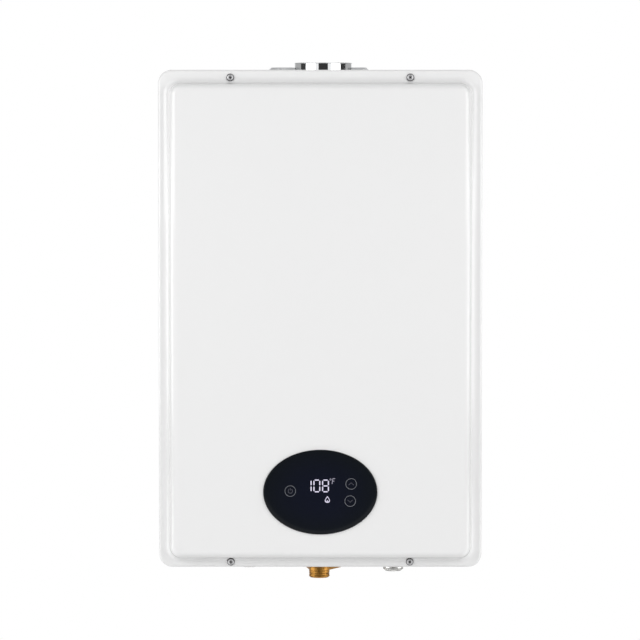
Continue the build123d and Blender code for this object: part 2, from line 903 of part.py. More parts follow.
with BuildPart() as gas_inlet_spacer:
    with BuildSketch(gas_plane(flange_bottom + flange_thick)):
        diamond(flange_core, ear_radius)
    extrude(amount=flange_thick)
    with BuildSketch(gas_plane(flange_bottom)):
        Circle(pipe_bore)
        with Locations(*ear_points):
            Circle(ear_hole)
    extrude(amount=3 * flange_thick, mode=Mode.SUBTRACT)
gas_inlet_spacer.part.label = "gas_inlet_spacer"
export_step(gas_inlet_spacer.part, "parts/gas_inlet_spacer.step")

with BuildPart() as gas_riser:
    with BuildSketch(gas_plane(-case_half)):
        diamond(flange_core, ear_radius)
    extrude(amount=flange_thick)
    with BuildSketch(gas_plane(-case_half)):
        Circle(11)
    extrude(amount=valve_bottom + case_half)
    with BuildSketch(gas_plane(-case_half)):
        Circle(pipe_bore)
    extrude(amount=valve_bottom + case_half, mode=Mode.SUBTRACT)
    with BuildSketch(gas_plane(-case_half)):
        with Locations(*ear_points):
            Circle(ear_hole)
    extrude(amount=flange_thick, mode=Mode.SUBTRACT)
gas_riser.part.label = "gas_riser"
export_step(gas_riser.part, "parts/gas_riser.step")

with BuildPart() as gas_inlet_screws:
    with BuildSketch(gas_plane(flange_bottom)):
        with Locations(*ear_points):
            Circle(ear_hole)
    extrude(amount=2 * flange_thick + sheet + flange_thick)
    with BuildSketch(gas_plane(-case_half + flange_thick)):
        with Locations(*ear_points):
            RegularPolygon(4, 6)
    extrude(amount=3)
gas_inlet_screws.part.label = "gas_inlet_screws"
export_step(gas_inlet_screws.part, "parts/gas_inlet_screws.step")

coil_xs = (main_coil_x, trim_coil_x)
coil_points = [(x, -coil_depth) for x in coil_xs]
with BuildPart() as gas_valve_body:
    block((valve_left, valve_right), (valve_back, valve_front), (valve_bottom, valve_top))
    chamfer(gas_valve_body.edges().filter_by(Axis.Z), 4)
    with BuildSketch(front(valve_front)):
        with Locations((middle(valve_left, valve_right), middle(valve_bottom, valve_top))):
            RectangleRounded(60, 30, 5)
    extrude(amount=3)
    with BuildSketch(level(seat_height)):
        with Locations(*coil_points):
            Circle(10)
    extrude(amount=20, mode=Mode.SUBTRACT)
    with BuildSketch(level(valve_bottom)):
        with Locations((gas_x, -gas_depth)):
            Circle(pipe_bore)
    extrude(amount=18, mode=Mode.SUBTRACT)
gas_valve_body.part.label = "gas_valve_body"
export_step(gas_valve_body.part, "parts/gas_valve_body.step")

bore_top = coil_top - 6
for name, x in (("main", main_coil_x), ("trim", trim_coil_x)):
    with BuildPart() as coil:
        with BuildSketch(level(valve_top)):
            with Locations((x, -coil_depth)):
                Rectangle(30, 34)
        extrude(amount=2)
        with BuildSketch(level(valve_top + 2)):
            with Locations((x, -coil_depth)):
                Circle(14)
        extrude(amount=coil_top - valve_top - 4)
        with BuildSketch(level(coil_top - 2)):
            with Locations((x, -coil_depth)):
                Rectangle(20, 30)
        extrude(amount=2)
        with BuildSketch(level(valve_top)):
            with Locations((x, -coil_depth)):
                Circle(plunger_radius + fit)
        extrude(amount=bore_top - valve_top, mode=Mode.SUBTRACT)
    coil.part.label = f"{name}_solenoid"
    export_step(coil.part, f"parts/{name}_solenoid.step")

    with BuildPart() as plunger:
        with BuildSketch(level(seat_height)):
            with Locations((x, -coil_depth)):
                Circle(seat_radius)
        extrude(amount=3)
        with BuildSketch(level(seat_height + 3)):
            with Locations((x, -coil_depth)):
                Circle(plunger_radius)
        extrude(amount=bore_top - valve_travel - 1 - seat_height - 3)
    plunger.part.label = f"{name}_plunger"
    export_step(plunger.part, f"parts/{name}_plunger.step")

    with BuildPart() as spring:
        with BuildSketch(level(seat_height + 3)):
            with Locations((x, -coil_depth)):
                RegularPolygon(spring_radius, 12)
                RegularPolygon(6.3, 12, mode=Mode.SUBTRACT)
        extrude(amount=valve_top - seat_height - 3)
    spring.part.label = f"{name}_spring"
    export_step(spring.part, f"parts/{name}_spring.step")

pipe_x = valve_left - 16
gas_pipe = bent_pipe(
    (
        (valve_left, -coil_depth, -152),
        (pipe_x, -coil_depth, -152),
        (pipe_x, -coil_depth, -90),
        (pipe_x, -109, -70),
        (pipe_x, -109, manifold_height - manifold_half),
    ),
    9,
    6,
)
gas_pipe.label = "gas_pipe"
export_step(gas_pipe, "parts/gas_pipe.step")

# --------------------------------------------------------------------- water train

def water_nipple(x, depth, bottom):
    """Threaded nipple that stands in the bottom panel, with a hexagon inside the case."""
    with BuildPart() as nipple:
        with Locations((x, -depth, bottom)):
            Cylinder(thread_radius, -case_top - locknut - bottom, align=standing)
            chamfer(nipple.faces().sort_by(Axis.Z)[0].edges(), thread_lead)
        with Locations((x, -depth, -case_top - locknut)):
            Cylinder(neck_radius, locknut + sheet, align=standing)
        with BuildSketch(level(-case_half)):
            with Locations((x, -depth)):
                RegularPolygon(nut_flat, 6, major_radius=False)
        extrude(amount=nipple_flat)
        with Locations((x, -depth, -case_half)):
            Cylinder(tail_radius, tail_top + case_half, align=standing)
        with Locations((x, -depth, bottom)):
            Cylinder(pipe_bore, 60, align=standing, mode=Mode.SUBTRACT)
    return nipple.part


cold_inlet = water_nipple(cold_x, cold_depth, cold_bottom)
cold_inlet.label = "cold_inlet"
export_step(cold_inlet, "parts/cold_inlet.step")

hot_outlet = water_nipple(hot_x, hot_depth, hot_bottom)
hot_outlet.label = "hot_outlet"
export_step(hot_outlet, "parts/hot_outlet.step")

with BuildPart() as water_locknuts:
    with BuildSketch(level(-case_top - locknut)):
        with Locations((cold_x, -cold_depth), (hot_x, -hot_depth)):
            RegularPolygon(nut_flat, 6, major_radius=False, rotation=15)
            Circle(neck_radius, mode=Mode.SUBTRACT)
    extrude(amount=locknut)
water_locknuts.part.label = "water_locknuts"
export_step(water_locknuts.part, "parts/water_locknuts.step")

with BuildPart() as inlet_filter:
    with BuildSketch(level(-258)):
        with Locations((cold_x, -cold_depth)):
            Circle(pipe_bore)
            Circle(pipe_bore - 1.6, mode=Mode.SUBTRACT)
    extrude(amount=2)
    with BuildSketch(level(-256)):
        with Locations((cold_x, -cold_depth)):
            Circle(pipe_bore - 1)
            Circle(pipe_bore - 1.6, mode=Mode.SUBTRACT)
    extrude(amount=16)
    with BuildSketch(level(-240)):
        with Locations((cold_x, -cold_depth)):
            Circle(pipe_bore - 1)
    extrude(amount=1)
inlet_filter.part.label = "inlet_filter"
export_step(inlet_filter.part, "parts/inlet_filter.step")

with BuildPart() as flow_sensor:
    with BuildSketch(level(sensor_bottom)):
        with Locations((cold_x, -cold_depth)):
            Circle(sensor_radius)
            Circle(sensor_bore, mode=Mode.SUBTRACT)
    extrude(amount=sensor_top - sensor_bottom)
    for height in (turbine_low - 4, turbine_high + 1):
        with BuildSketch(level(height)):
            with Locations((cold_x, -cold_depth)):
                Rectangle(17.6, 3)
                Rectangle(3, 17.6)
                Circle(2.4)
                Circle(axle_radius + fit, mode=Mode.SUBTRACT)
        extrude(amount=3)
    block((cold_x - 8, cold_x + 8), (cold_depth + 11, cold_depth + 19), (-222, -198))
flow_sensor.part.label = "flow_sensor"
export_step(flow_sensor.part, "parts/flow_sensor.step")

with BuildPart() as flow_turbine:
    with Locations((cold_x, -cold_depth, turbine_low)):
        Cylinder(3.0, turbine_high - turbine_low, align=standing)
    with Locations((cold_x, -cold_depth, turbine_low - 4)):
        Cylinder(axle_radius, turbine_high - turbine_low + 8, align=standing)
    with Locations((cold_x, -cold_depth, middle(turbine_low, turbine_high))):
        with PolarLocations(5.0, 6):
            with Locations(Rotation(35, 0, 0)):
                Box(5.0, 0.9, 11)
flow_turbine.part.label = "flow_turbine"
export_step(flow_turbine.part, "parts/flow_turbine.step")

cold_pipe = bent_pipe(
    (
        (cold_x, -cold_depth, sensor_top),
        (cold_x, -cold_depth, sensor_top + 22),
        (pipe_side, -tube_depths[0], sensor_top + 56),
        (pipe_side, -tube_depths[0], tube_height),
        (tube_reach, -tube_depths[0], tube_height),
    ),
    13,
    tube_radius,
)
cold_pipe.label = "cold_pipe"
export_step(cold_pipe, "parts/cold_pipe.step")

hot_pipe = bent_pipe(
    (
        (hot_x, -hot_depth, tail_top),
        (hot_x, -hot_depth, tail_top + 30),
        (-pipe_side, -tube_depths[-1], tail_top + 66),
        (-pipe_side, -tube_depths[-1], tube_height),
        (-tube_reach, -tube_depths[-1], tube_height),
    ),
    13,
    tube_radius,
)
hot_pipe.label = "hot_pipe"
export_step(hot_pipe, "parts/hot_pipe.step")

with BuildPart() as drain_body:
    with BuildSketch(level(-case_half)):
        with Locations((drain_x, -drain_depth)):
            RegularPolygon(10, 6)
    extrude(amount=15)
    with Locations((drain_x, -drain_depth, -case_half)):
        Cylinder(6.0, sheet, align=hanging)
        Cylinder(drain_stem + fit, 11, align=standing, mode=Mode.SUBTRACT)
        Cylinder(drain_stem + fit, sheet, align=hanging, mode=Mode.SUBTRACT)
    with BuildSketch(Plane.YZ.offset(cold_x + tail_radius)):
        with Locations((-drain_depth, -case_half + 11.5)):
            Circle(3)
    extrude(amount=drain_x - cold_x - tail_radius - drain_knob)
drain_body.part.label = "drain_body"
export_step(drain_body.part, "parts/drain_body.step")

with BuildPart() as drain_plug:
    with Locations((drain_x, -drain_depth, -case_top - 0.3)):
        Cylinder(drain_knob, 7, align=hanging)
        Cylinder(drain_stem, 9, align=standing)
drain_plug.part.label = "drain_plug"
export_step(drain_plug.part, "parts/drain_plug.step")

# -------------------------------------------------------------------- electrical parts

with BuildPart() as power_gland:
    with BuildSketch(level(-case_top - 5)):
        with Locations((gland_x, -gland_depth)):
            RegularPolygon(gland_flat, 6, major_radius=False)
    extrude(amount=5)
    with Locations((gland_x, -gland_depth, -case_top)):
        Cylinder(gland_hole, 8, align=standing)
    with BuildSketch(level(-case_half)):
        with Locations((gland_x, -gland_depth)):
            RegularPolygon(gland_flat, 6, major_radius=False)
    extrude(amount=4)
    with Locations((gland_x, -gland_depth, -case_top - 5)):
        Cylinder(cord_radius, 20, align=standing, mode=Mode.SUBTRACT)
power_gland.part.label = "power_gland"
export_step(power_gland.part, "parts/power_gland.step")

with BuildPart() as controller_box:
    block((box_left, box_right), (box_back, box_front), (box_low, box_high))
    block(
        (box_left + box_wall, box_right - box_wall),
        (box_back + box_wall, box_front + box_wall),
        (box_low + box_wall, box_high - box_wall),
        mode=Mode.SUBTRACT,
    )
    for height in (box_low + 20, box_high - 20):
        block((-case_width / 2 + sheet, box_left), (box_back, box_back + 3), (height - 6, height + 6))
controller_box.part.label = "controller_box"
export_step(controller_box.part, "parts/controller_box.step")

with BuildPart() as control_board:
    block(
        (box_left + box_wall, box_right - box_wall),
        (box_back + 6, box_back + 8),
        (box_low + box_wall, box_high - box_wall),
    )
    block((-140, -118), (box_back + 8, box_front - 1), (-214, -190))
    block((-108, -92), (box_back + 8, box_front - 4), (-212, -192))
    block((-86, -72), (box_back + 8, box_front - 4), (-212, -184))
    block((-140, -110), (box_back + 8, box_front - 8), (-126, -112))
    block((-120, -96), (box_back + 8, box_back + 12), (-166, -142))
    with BuildSketch(front(box_back + 8)):
        with Locations((-84, -134), (-84, -152)):
            Circle(6)
    extrude(amount=14)
control_board.part.label = "control_board"
export_step(control_board.part, "parts/control_board.step")

with BuildPart() as controller_lid:
    block((box_left, box_right), (box_front, box_front + box_wall), (box_low, box_high))
controller_lid.part.label = "controller_lid"
export_step(controller_lid.part, "parts/controller_lid.step")

with BuildPart() as power_module:
    block((100, 150), (sheet, 12), (-182, -118))
    block((104, 146), (12, 46), (-172, -128))
    chamfer(power_module.edges().filter_by(Axis.Z), 1.5)
power_module.part.label = "power_module"
export_step(power_module.part, "parts/power_module.step")

with BuildPart() as igniter_box:
    block((-case_width / 2 + sheet, igniter_right), (45, 85), (-76, -22))
    chamfer(igniter_box.edges().filter_by(Axis.Z), 2)
    with BuildSketch(Plane.YZ.offset(igniter_right)):
        with Locations((-56, -36), (-74, -36)):
            Circle(4)
    extrude(amount=8)
igniter_box.part.label = "igniter_box"
export_step(igniter_box.part, "parts/igniter_box.step")

with BuildPart() as pressure_switch:
    with BuildSketch(front(44)):
        with Locations((switch_x, switch_height)):
            Circle(24)
    extrude(amount=5)
    with BuildSketch(front(49)):
        with Locations((switch_x, switch_height)):
            Circle(20)
    extrude(amount=9)
    with BuildSketch(Plane.YZ.offset(switch_x - 30)):
        with Locations((-switch_depth, switch_height)):
            Circle(2.5)
    extrude(amount=14)
    block((switch_x - 20, switch_x + 20), (42, 44), (switch_height - 34, switch_height + 12))
    block((switch_x - 20, switch_x + 20), (sheet, 42), (switch_height - 34, switch_height - 32))
    block((switch_x - 20, switch_x + 20), (sheet, 3), (switch_height - 50, switch_height - 34))
pressure_switch.part.label = "pressure_switch"
export_step(pressure_switch.part, "parts/pressure_switch.step")

scroll_side = scroll_point(360, scroll_sheet)[0]
pressure_hose = bent_pipe(
    (
        (switch_x - 30, -switch_depth, switch_height),
        (scroll_side + 22, -switch_depth, switch_height),
        (scroll_side + 22, -61, 208),
        (scroll_side, -61, 208),
    ),
    7,
    3.5,
)
pressure_hose.label = "pressure_hose"
export_step(pressure_hose, "parts/pressure_hose.step")
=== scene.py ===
"""Finishes, small fittings, light and camera for a wall-hung tankless gas water heater.

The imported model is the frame: X to the right, Z up and Y into the wall, in metres. The user
stands on the -Y side. Run as a script, this file dresses that model and frames the view.
"""

import json
from math import atan2, cos, radians, sin, tan, tau

import bmesh
import bpy
from bpy.props import (
    FloatProperty,
    FloatVectorProperty,
    PointerProperty,
    StringProperty,
)
from mathutils import Matrix, Vector
from mathutils.geometry import convex_hull_2d


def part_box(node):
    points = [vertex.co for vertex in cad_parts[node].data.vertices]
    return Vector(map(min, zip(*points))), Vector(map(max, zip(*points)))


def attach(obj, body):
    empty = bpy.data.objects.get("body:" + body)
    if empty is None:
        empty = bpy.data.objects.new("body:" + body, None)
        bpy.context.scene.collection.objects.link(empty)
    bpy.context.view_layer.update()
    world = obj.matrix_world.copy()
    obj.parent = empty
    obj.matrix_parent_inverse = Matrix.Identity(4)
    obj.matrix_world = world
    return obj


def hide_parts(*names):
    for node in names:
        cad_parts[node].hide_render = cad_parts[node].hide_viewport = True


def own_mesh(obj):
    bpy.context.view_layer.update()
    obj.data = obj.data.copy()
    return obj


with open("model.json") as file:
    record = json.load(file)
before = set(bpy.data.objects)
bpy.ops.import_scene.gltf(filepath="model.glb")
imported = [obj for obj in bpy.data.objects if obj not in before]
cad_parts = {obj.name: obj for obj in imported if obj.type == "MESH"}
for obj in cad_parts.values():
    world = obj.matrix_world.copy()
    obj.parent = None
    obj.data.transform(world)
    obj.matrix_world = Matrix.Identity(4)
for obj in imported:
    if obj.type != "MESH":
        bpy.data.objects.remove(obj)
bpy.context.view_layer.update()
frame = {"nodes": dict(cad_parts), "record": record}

bl_info = {
    "name": "Tankless Water Heater",
    "version": (1, 0, 0),
    "blender": (4, 5, 0),
    "location": "3D View > Sidebar > Heater",
    "description": "Builds the finishes, fittings and studio of a wall-hung water heater",
    "category": "Object",
}

MM = 0.001


# --------------------------------------------------------------------------- settings

class CoverSettings(bpy.types.PropertyGroup):
    """Sizes and colour of the enamelled front cover and its screws."""

    enamel: FloatVectorProperty(
        name="Enamel", description="Colour of the baked enamel on the front cover",
        subtype="COLOR", size=3, min=0, max=1, default=(0.86, 0.86, 0.86),
    )
    sheet: FloatProperty(
        name="Sheet", description="Thickness of the cover's sheet steel",
        unit="LENGTH", default=0.8 * MM,
    )
    step_radius: FloatProperty(
        name="Step radius", description="Radius of both bends of the step round the raised panel",
        unit="LENGTH", default=7 * MM,
    )
    step_lean: FloatProperty(
        name="Step lean", description="Steepest slope of the step, in degrees", default=82
    )
    screw_radius: FloatProperty(
        name="Screw head radius", description="Radius of the pan heads that hold the cover",
        unit="LENGTH", default=3.85 * MM,
    )
    recess_span: FloatProperty(
        name="Cross recess span", description="Tip to tip width of the cross recess in a screw head",
        unit="LENGTH", default=4.4 * MM,
    )


class DialSettings(bpy.types.PropertyGroup):
    """What the oval touch panel shows and how it looks."""

    glass: FloatVectorProperty(
        name="Glass", description="Colour of the tinted glass",
        subtype="COLOR", size=3, min=0, max=1, default=(0.0052, 0.0066, 0.0175),
    )
    digits: StringProperty(name="Digits", description="Temperature on the display", default="108")
    glow: FloatVectorProperty(
        name="Glow", description="Colour of the lit segments",
        subtype="COLOR", size=3, min=0, max=1, default=(0.80, 0.76, 0.95),
    )
    glow_strength: FloatProperty(
        name="Glow strength", description="Emission strength of the lit segments", min=0, default=0.95
    )
    key_radius: FloatProperty(
        name="Key radius", description="Radius of the printed ring round each touch key",
        unit="LENGTH", default=5.6 * MM,
    )


class FittingSettings(bpy.types.PropertyGroup):
    """Sizes of the half inch pipe threads on the gas and water stubs."""

    thread_radius: FloatProperty(
        name="Thread radius", description="Outer radius of the thread",
        unit="LENGTH", default=10.65 * MM,
    )
    thread_pitch: FloatProperty(
        name="Thread pitch", description="Height of one turn of the thread",
        unit="LENGTH", default=1.814 * MM,
    )
    thread_depth: FloatProperty(
        name="Thread depth", description="Depth of the thread groove", unit="LENGTH", default=0.5 * MM
    )
    bore_radius: FloatProperty(
        name="Bore radius", description="Radius of the bore through a threaded stub",
        unit="LENGTH", default=7.5 * MM,
    )


class StudioSettings(bpy.types.PropertyGroup):
    """Where the camera and the floor are, and how bright the lamps and the room are."""

    camera_distance: FloatProperty(
        name="Camera distance", description="Distance from the camera to the rim of the cover",
        unit="LENGTH", default=3.8,
    )
    camera_height: FloatProperty(
        name="Camera height", description="Height of the camera above the middle of the cover",
        unit="LENGTH", default=0.223,
    )
    frame_width: FloatProperty(
        name="Framed width", description="Width of the picture at the rim of the cover",
        unit="LENGTH", default=0.6527,
    )
    floor_drop: FloatProperty(
        name="Floor drop", description="Height of the middle of the cover above the floor",
        unit="LENGTH", default=0.95,
    )
    softbox_left: FloatProperty(
        name="Left softbox", description="Power of the softbox in front, on the left",
        unit="POWER", default=3.5,
    )
    softbox_right: FloatProperty(
        name="Right softbox", description="Power of the softbox in front, on the right",
        unit="POWER", default=2.95,
    )
    low_fill: FloatProperty(
        name="Low fill", description="Power of the low lamp, which lights the undersides",
        unit="POWER", default=2.1,
    )
    side_glow: FloatProperty(
        name="Side glow", description="Brightness of the low reflectors on both sides in gloss",
        min=0, default=5.0,
    )
    room_side: FloatProperty(
        name="Side walls", description="Brightness of the side walls to matt surfaces",
        min=0, default=1.1,
    )
    room_back: FloatProperty(
        name="Back wall", description="Brightness of the wall behind the heater to matt surfaces",
        min=0, default=1.4,
    )
    room_front: FloatProperty(
        name="Front wall", description="Brightness of the wall behind the camera to matt surfaces",
        min=0, default=1.11,
    )
    room_bottom: FloatProperty(
        name="Ground", description="Brightness below the horizon to matt surfaces", min=0, default=1.0
    )


# ---------------------------------------------------------------------- shader helpers

class Signal:
    """An output socket of a node tree. Maths with it adds Math nodes to the tree."""

    def __init__(self, tree, socket=None):
        self.tree = tree
        self.socket = socket

    def node(self, kind, settings=None, values=None, out=0):
        """Add a node, give it its settings and inputs, and return one of its outputs."""
        made = self.tree.nodes.new("ShaderNode" + kind)
        for name, value in (settings or {}).items():
            setattr(made, name, value)
        for name, value in (values or {}).items():
            if isinstance(value, Signal):
                self.tree.links.new(value.socket, made.inputs[name])
            else:
                made.inputs[name].default_value = value
        return Signal(self.tree, made.outputs[out])

    def maths(self, operation, *values):
        return self.node("Math", {"operation": operation}, dict(enumerate(values)))

    def __add__(self, other):
        return self.maths("ADD", self, other)

    __radd__ = __add__

    def __sub__(self, other):
        return self.maths("SUBTRACT", self, other)

    def __rsub__(self, other):
        return self.maths("SUBTRACT", other, self)

    def __mul__(self, other):
        return self.maths("MULTIPLY", self, other)

    __rmul__ = __mul__

    def __gt__(self, other):
        return self.maths("GREATER_THAN", self, other)

    def __lt__(self, other):
        return self.maths("LESS_THAN", self, other)

    def __abs__(self):
        return self.maths("ABSOLUTE", self)


class Finish(Signal):
    """A material of one shader, with the patterns that vary over its surface."""

    def __init__(self, name, **constants):
        self.material = bpy.data.materials.new(name)
        self.material.use_nodes = True
        super().__init__(self.material.node_tree)
        self.shader = self.tree.nodes["Principled BSDF"]
        for socket, value in constants.items():
            self.set(socket, value)

    def set(self, socket, value):
        """Give the shader's socket a value, a colour or a varying signal."""
        target = self.shader.inputs[socket.replace("_", " ").title().replace("Ior", "IOR")]
        if isinstance(value, Signal):
            self.tree.links.new(value.socket, target)
        elif isinstance(value, (tuple, list)) and len(value) == 3 and target.type == "RGBA":
            target.default_value = (*value, 1)
        else:
            target.default_value = value

    def place(self):
        """Object coordinates, in metres."""
        return self.node("TexCoord", out=3)

    def along(self, axis):
        """One object coordinate, in metres."""
        return self.node("SeparateXYZ", values={0: self.place()}, out="XYZ".index(axis))

    def noise(self, scale, detail, stretch=None, roughness=0.55):
        """Soft noise from 0 to 1; scale is in features per metre."""
        place = self.place()
        if stretch:
            place = self.node("Mapping", values={0: place, 3: stretch})
        values = {"Vector": place, "Scale": scale, "Detail": detail, "Roughness": roughness}
        return self.node("TexNoise", values=values)

    def range(self, signal, low, high, start=0.0, end=1.0):
        """Map a signal from start..end to low..high."""
        return self.node("MapRange", values={0: signal, 1: start, 2: end, 3: low, 4: high})

    def blend(self, share, first, second):
        """Colour between two colours by a share from 0 to 1."""
        values = {0: share}
        for name, colour in ((6, first), (7, second)):
            values[name] = colour if isinstance(colour, Signal) else (*colour, 1)
        return self.node("Mix", {"data_type": "RGBA"}, values, out=2)

    def bump(self, height, distance, strength):
        """Feed the shader's normal from a height signal; distance is in metres."""
        values = {"Height": height, "Distance": distance, "Strength": strength}
        self.set("normal", self.node("Bump", values=values))
        return self


def shade(colour, factor):
    """The colour, made darker or lighter."""
    return tuple(min(1.0, channel * factor) for channel in colour)


# --------------------------------------------------------------------------- finishes

def grained(name, tone, colours, matt, limits, relief=None, **constants):
    """A finish of noises, each given as (scale, detail): tone mixes the two colours, matt sets the
    roughness between its limits, and relief, which adds (distance, strength), raises the bump."""
    made = Finish(name, **constants)
    made.set("base_color", made.blend(made.noise(*tone), *colours))
    made.set("roughness", made.range(made.noise(*matt), *limits))
    if relief:
        made.bump(made.noise(*relief[:2]), *relief[2:])
    return made


def enamel_finish(colour):
    """Baked gloss enamel with the faintest orange peel."""
    colours = shade(colour, 0.992), shade(colour, 1.004)
    peel = (220, 2, 0.000006, 0.25)
    return grained("white_enamel", (9, 2), colours, (40, 3), (0.08, 0.11), peel, ior=1.52)


def powder_finish():
    """Satin powder coat of the case, with its fine texture."""
    colours = (0.78, 0.785, 0.78), (0.83, 0.835, 0.83)
    grain = (2600, 3)
    relief = (*grain, 0.00006, 0.5)
    return grained("case_paint", (14, 3), colours, grain, (0.38, 0.52), relief, coat_weight=0.25)


def zinc_finish():
    """Galvanised sheet, with soft spangle."""
    made = Finish("galvanised", metallic=0.5)
    spangle = made.node(
        "TexVoronoi", values={"Vector": made.place(), "Scale": 190.0, "Randomness": 1.0}, out=1
    )
    grey = made.node("SeparateColor", values={0: spangle})
    made.set("base_color", made.blend(grey, (0.66, 0.67, 0.68), (0.80, 0.81, 0.82)))
    made.set("roughness", made.range(made.noise(420, 4) * 0.5 + grey * 0.5, 0.30, 0.46))
    return made.bump(made.noise(900, 3), 0.00003, 0.5)


def brushed_metal(name, colour, rough, stretch, lines=700, tone=0.12, metallic=1.0):
    """A metal whose fine lines run across the stretched axis."""
    made = Finish(name, metallic=metallic)
    line = made.noise(lines, 4, stretch)
    stain = made.noise(35, 4)
    mottle = line * 0.6 + stain * 0.4
    made.set("base_color", made.blend(mottle, shade(colour, 1 - tone), shade(colour, 1 + tone)))
    made.set("roughness", made.range(line, rough * 0.75, rough * 1.35))
    return made.bump(line, 0.00003, 0.35)


def chrome_finish():
    """Bright chrome plate."""
    colours = (0.80, 0.81, 0.82), (0.86, 0.87, 0.88)
    return grained("chrome", (60, 3), colours, (300, 3), (0.03, 0.06), metallic=1.0)


def nickel_finish():
    """Nickel plate on the water fittings, a little cloudy."""
    colours = (0.50, 0.50, 0.49), (0.72, 0.71, 0.69)
    cloud, relief = (150, 5), (1500, 3, 0.00004, 0.4)
    return grained("nickel", cloud, colours, cloud, (0.16, 0.34), relief, metallic=1.0)


def brass_finish():
    """Turned brass with tool lines and a warm tarnish."""
    made = Finish("brass", metallic=1.0)
    turning = made.noise(1500, 3, (0.06, 0.06, 1.0))
    stain = made.noise(130, 5, roughness=0.65)
    fresh = made.blend(stain, (0.33, 0.15, 0.027), (0.44, 0.24, 0.060))
    made.set("base_color", made.blend(turning * 0.4, fresh, (0.22, 0.09, 0.015)))
    made.set("roughness", made.range(stain * 0.6 + turning * 0.4, 0.34, 0.50))
    return made.bump(turning, 0.00003, 0.4)


def glass_finish(colour):
    """Tinted display glass, printed black behind its edge."""
    made = Finish("panel_glass", roughness=0.06, ior=1.5)
    low, high, middle = bounds_of("panel_glass")
    across = (made.along("X") - middle.x) * (2 / (high.x - low.x))
    up = (made.along("Z") - middle.z) * (2 / (high.z - low.z))
    reach = across * across + up * up
    edge = made.range(reach, 0.35, 0.95, 0.1, 1.0)
    cloud = made.blend(made.noise(28, 3), shade(colour, 0.8), shade(colour, 1.3))
    made.set("base_color", made.blend(edge, cloud, (0.0062, 0.0080, 0.0098)))
    return made.bump(made.noise(90, 2), 0.00001, 0.1)


def glow_finish(name, colour, strength):
    """A lit part of the display: a pale emitter with a soft core."""
    made = Finish(name, roughness=0.5)
    made.set("base_color", (0.02, 0.02, 0.02))
    made.set("emission_color", made.blend(made.noise(700, 2), shade(colour, 0.93), colour))
    made.set("emission_strength", strength)
    return made


def print_finish(name, colour):
    """Ink printed behind the glass."""
    made = Finish(name, roughness=0.25, coat_weight=0.5)
    made.set("base_color", made.blend(made.noise(1800, 2), shade(colour, 0.8), colour))
    return made


def moulded_finish(name, colour, rough, grain=1800, coat=0.0):
    """Moulded plastic or rubber with a fine spark-eroded texture."""
    colours = shade(colour, 0.88), shade(colour, 1.08)
    limits = rough * 0.82, min(1.0, rough * 1.18)
    relief = (grain, 3, 0.00004, 0.4)
    return grained(name, (70, 3), colours, (grain, 3), limits, relief, coat_weight=coat)


def board_finish():
    """Green solder mask over copper tracks."""
    made = Finish("circuit_board", roughness=0.35, coat_weight=0.3)
    cells = made.node(
        "TexBrick",
        {"offset": 0.37, "squash": 1.4, "squash_frequency": 3},
        {
            "Vector": made.node("Mapping", values={0: made.place(), 2: (radians(90), 0, 0)}),
            "Color1": (0, 0, 0, 1),
            "Color2": (0.25, 0.25, 0.25, 1),
            "Mortar": (1, 1, 1, 1),
            "Scale": 150.0,
            "Mortar Size": 0.06,
        },
    )
    track = made.node("SeparateColor", values={0: cells})
    made.set("base_color", made.blend(track, (0.010, 0.105, 0.042), (0.045, 0.23, 0.10)))
    return made.bump(track, 0.00003, 0.6)


def copper_finish():
    """Copper tube and fins, dulled and heat-tinted towards the burner."""
    made = Finish("copper", metallic=1.0)
    stain = made.noise(55, 5, roughness=0.6)
    heat = made.range(made.along("Z"), 1.0, 0.0, 0.06, 0.10)
    bright = made.blend(stain, (0.64, 0.25, 0.13), (0.86, 0.44, 0.29))
    made.set("base_color", made.blend(heat * stain, bright, (0.22, 0.10, 0.10)))
    made.set("roughness", made.range(stain, 0.20, 0.42))
    return made.bump(made.noise(1200, 3), 0.00003, 0.4)


def cast_finish():
    """Die-cast aluminium, shot-blasted."""
    colours = (0.46, 0.46, 0.47), (0.60, 0.60, 0.61)
    grain = (1400, 5)
    relief = (*grain, 0.00010, 0.6)
    return grained("cast_alloy", (60, 3), colours, grain, (0.42, 0.60), relief, metallic=0.85)


def ceramic_finish():
    """Glazed white ceramic of the electrode insulators."""
    colours = (0.74, 0.72, 0.67), (0.86, 0.85, 0.81)
    speck, relief = (420, 5), (200, 2, 0.00004, 0.3)
    glaze = {"coat_weight": 0.8, "coat_roughness": 0.08}
    return grained("ceramic", speck, colours, speck, (0.28, 0.42), relief, **glaze)


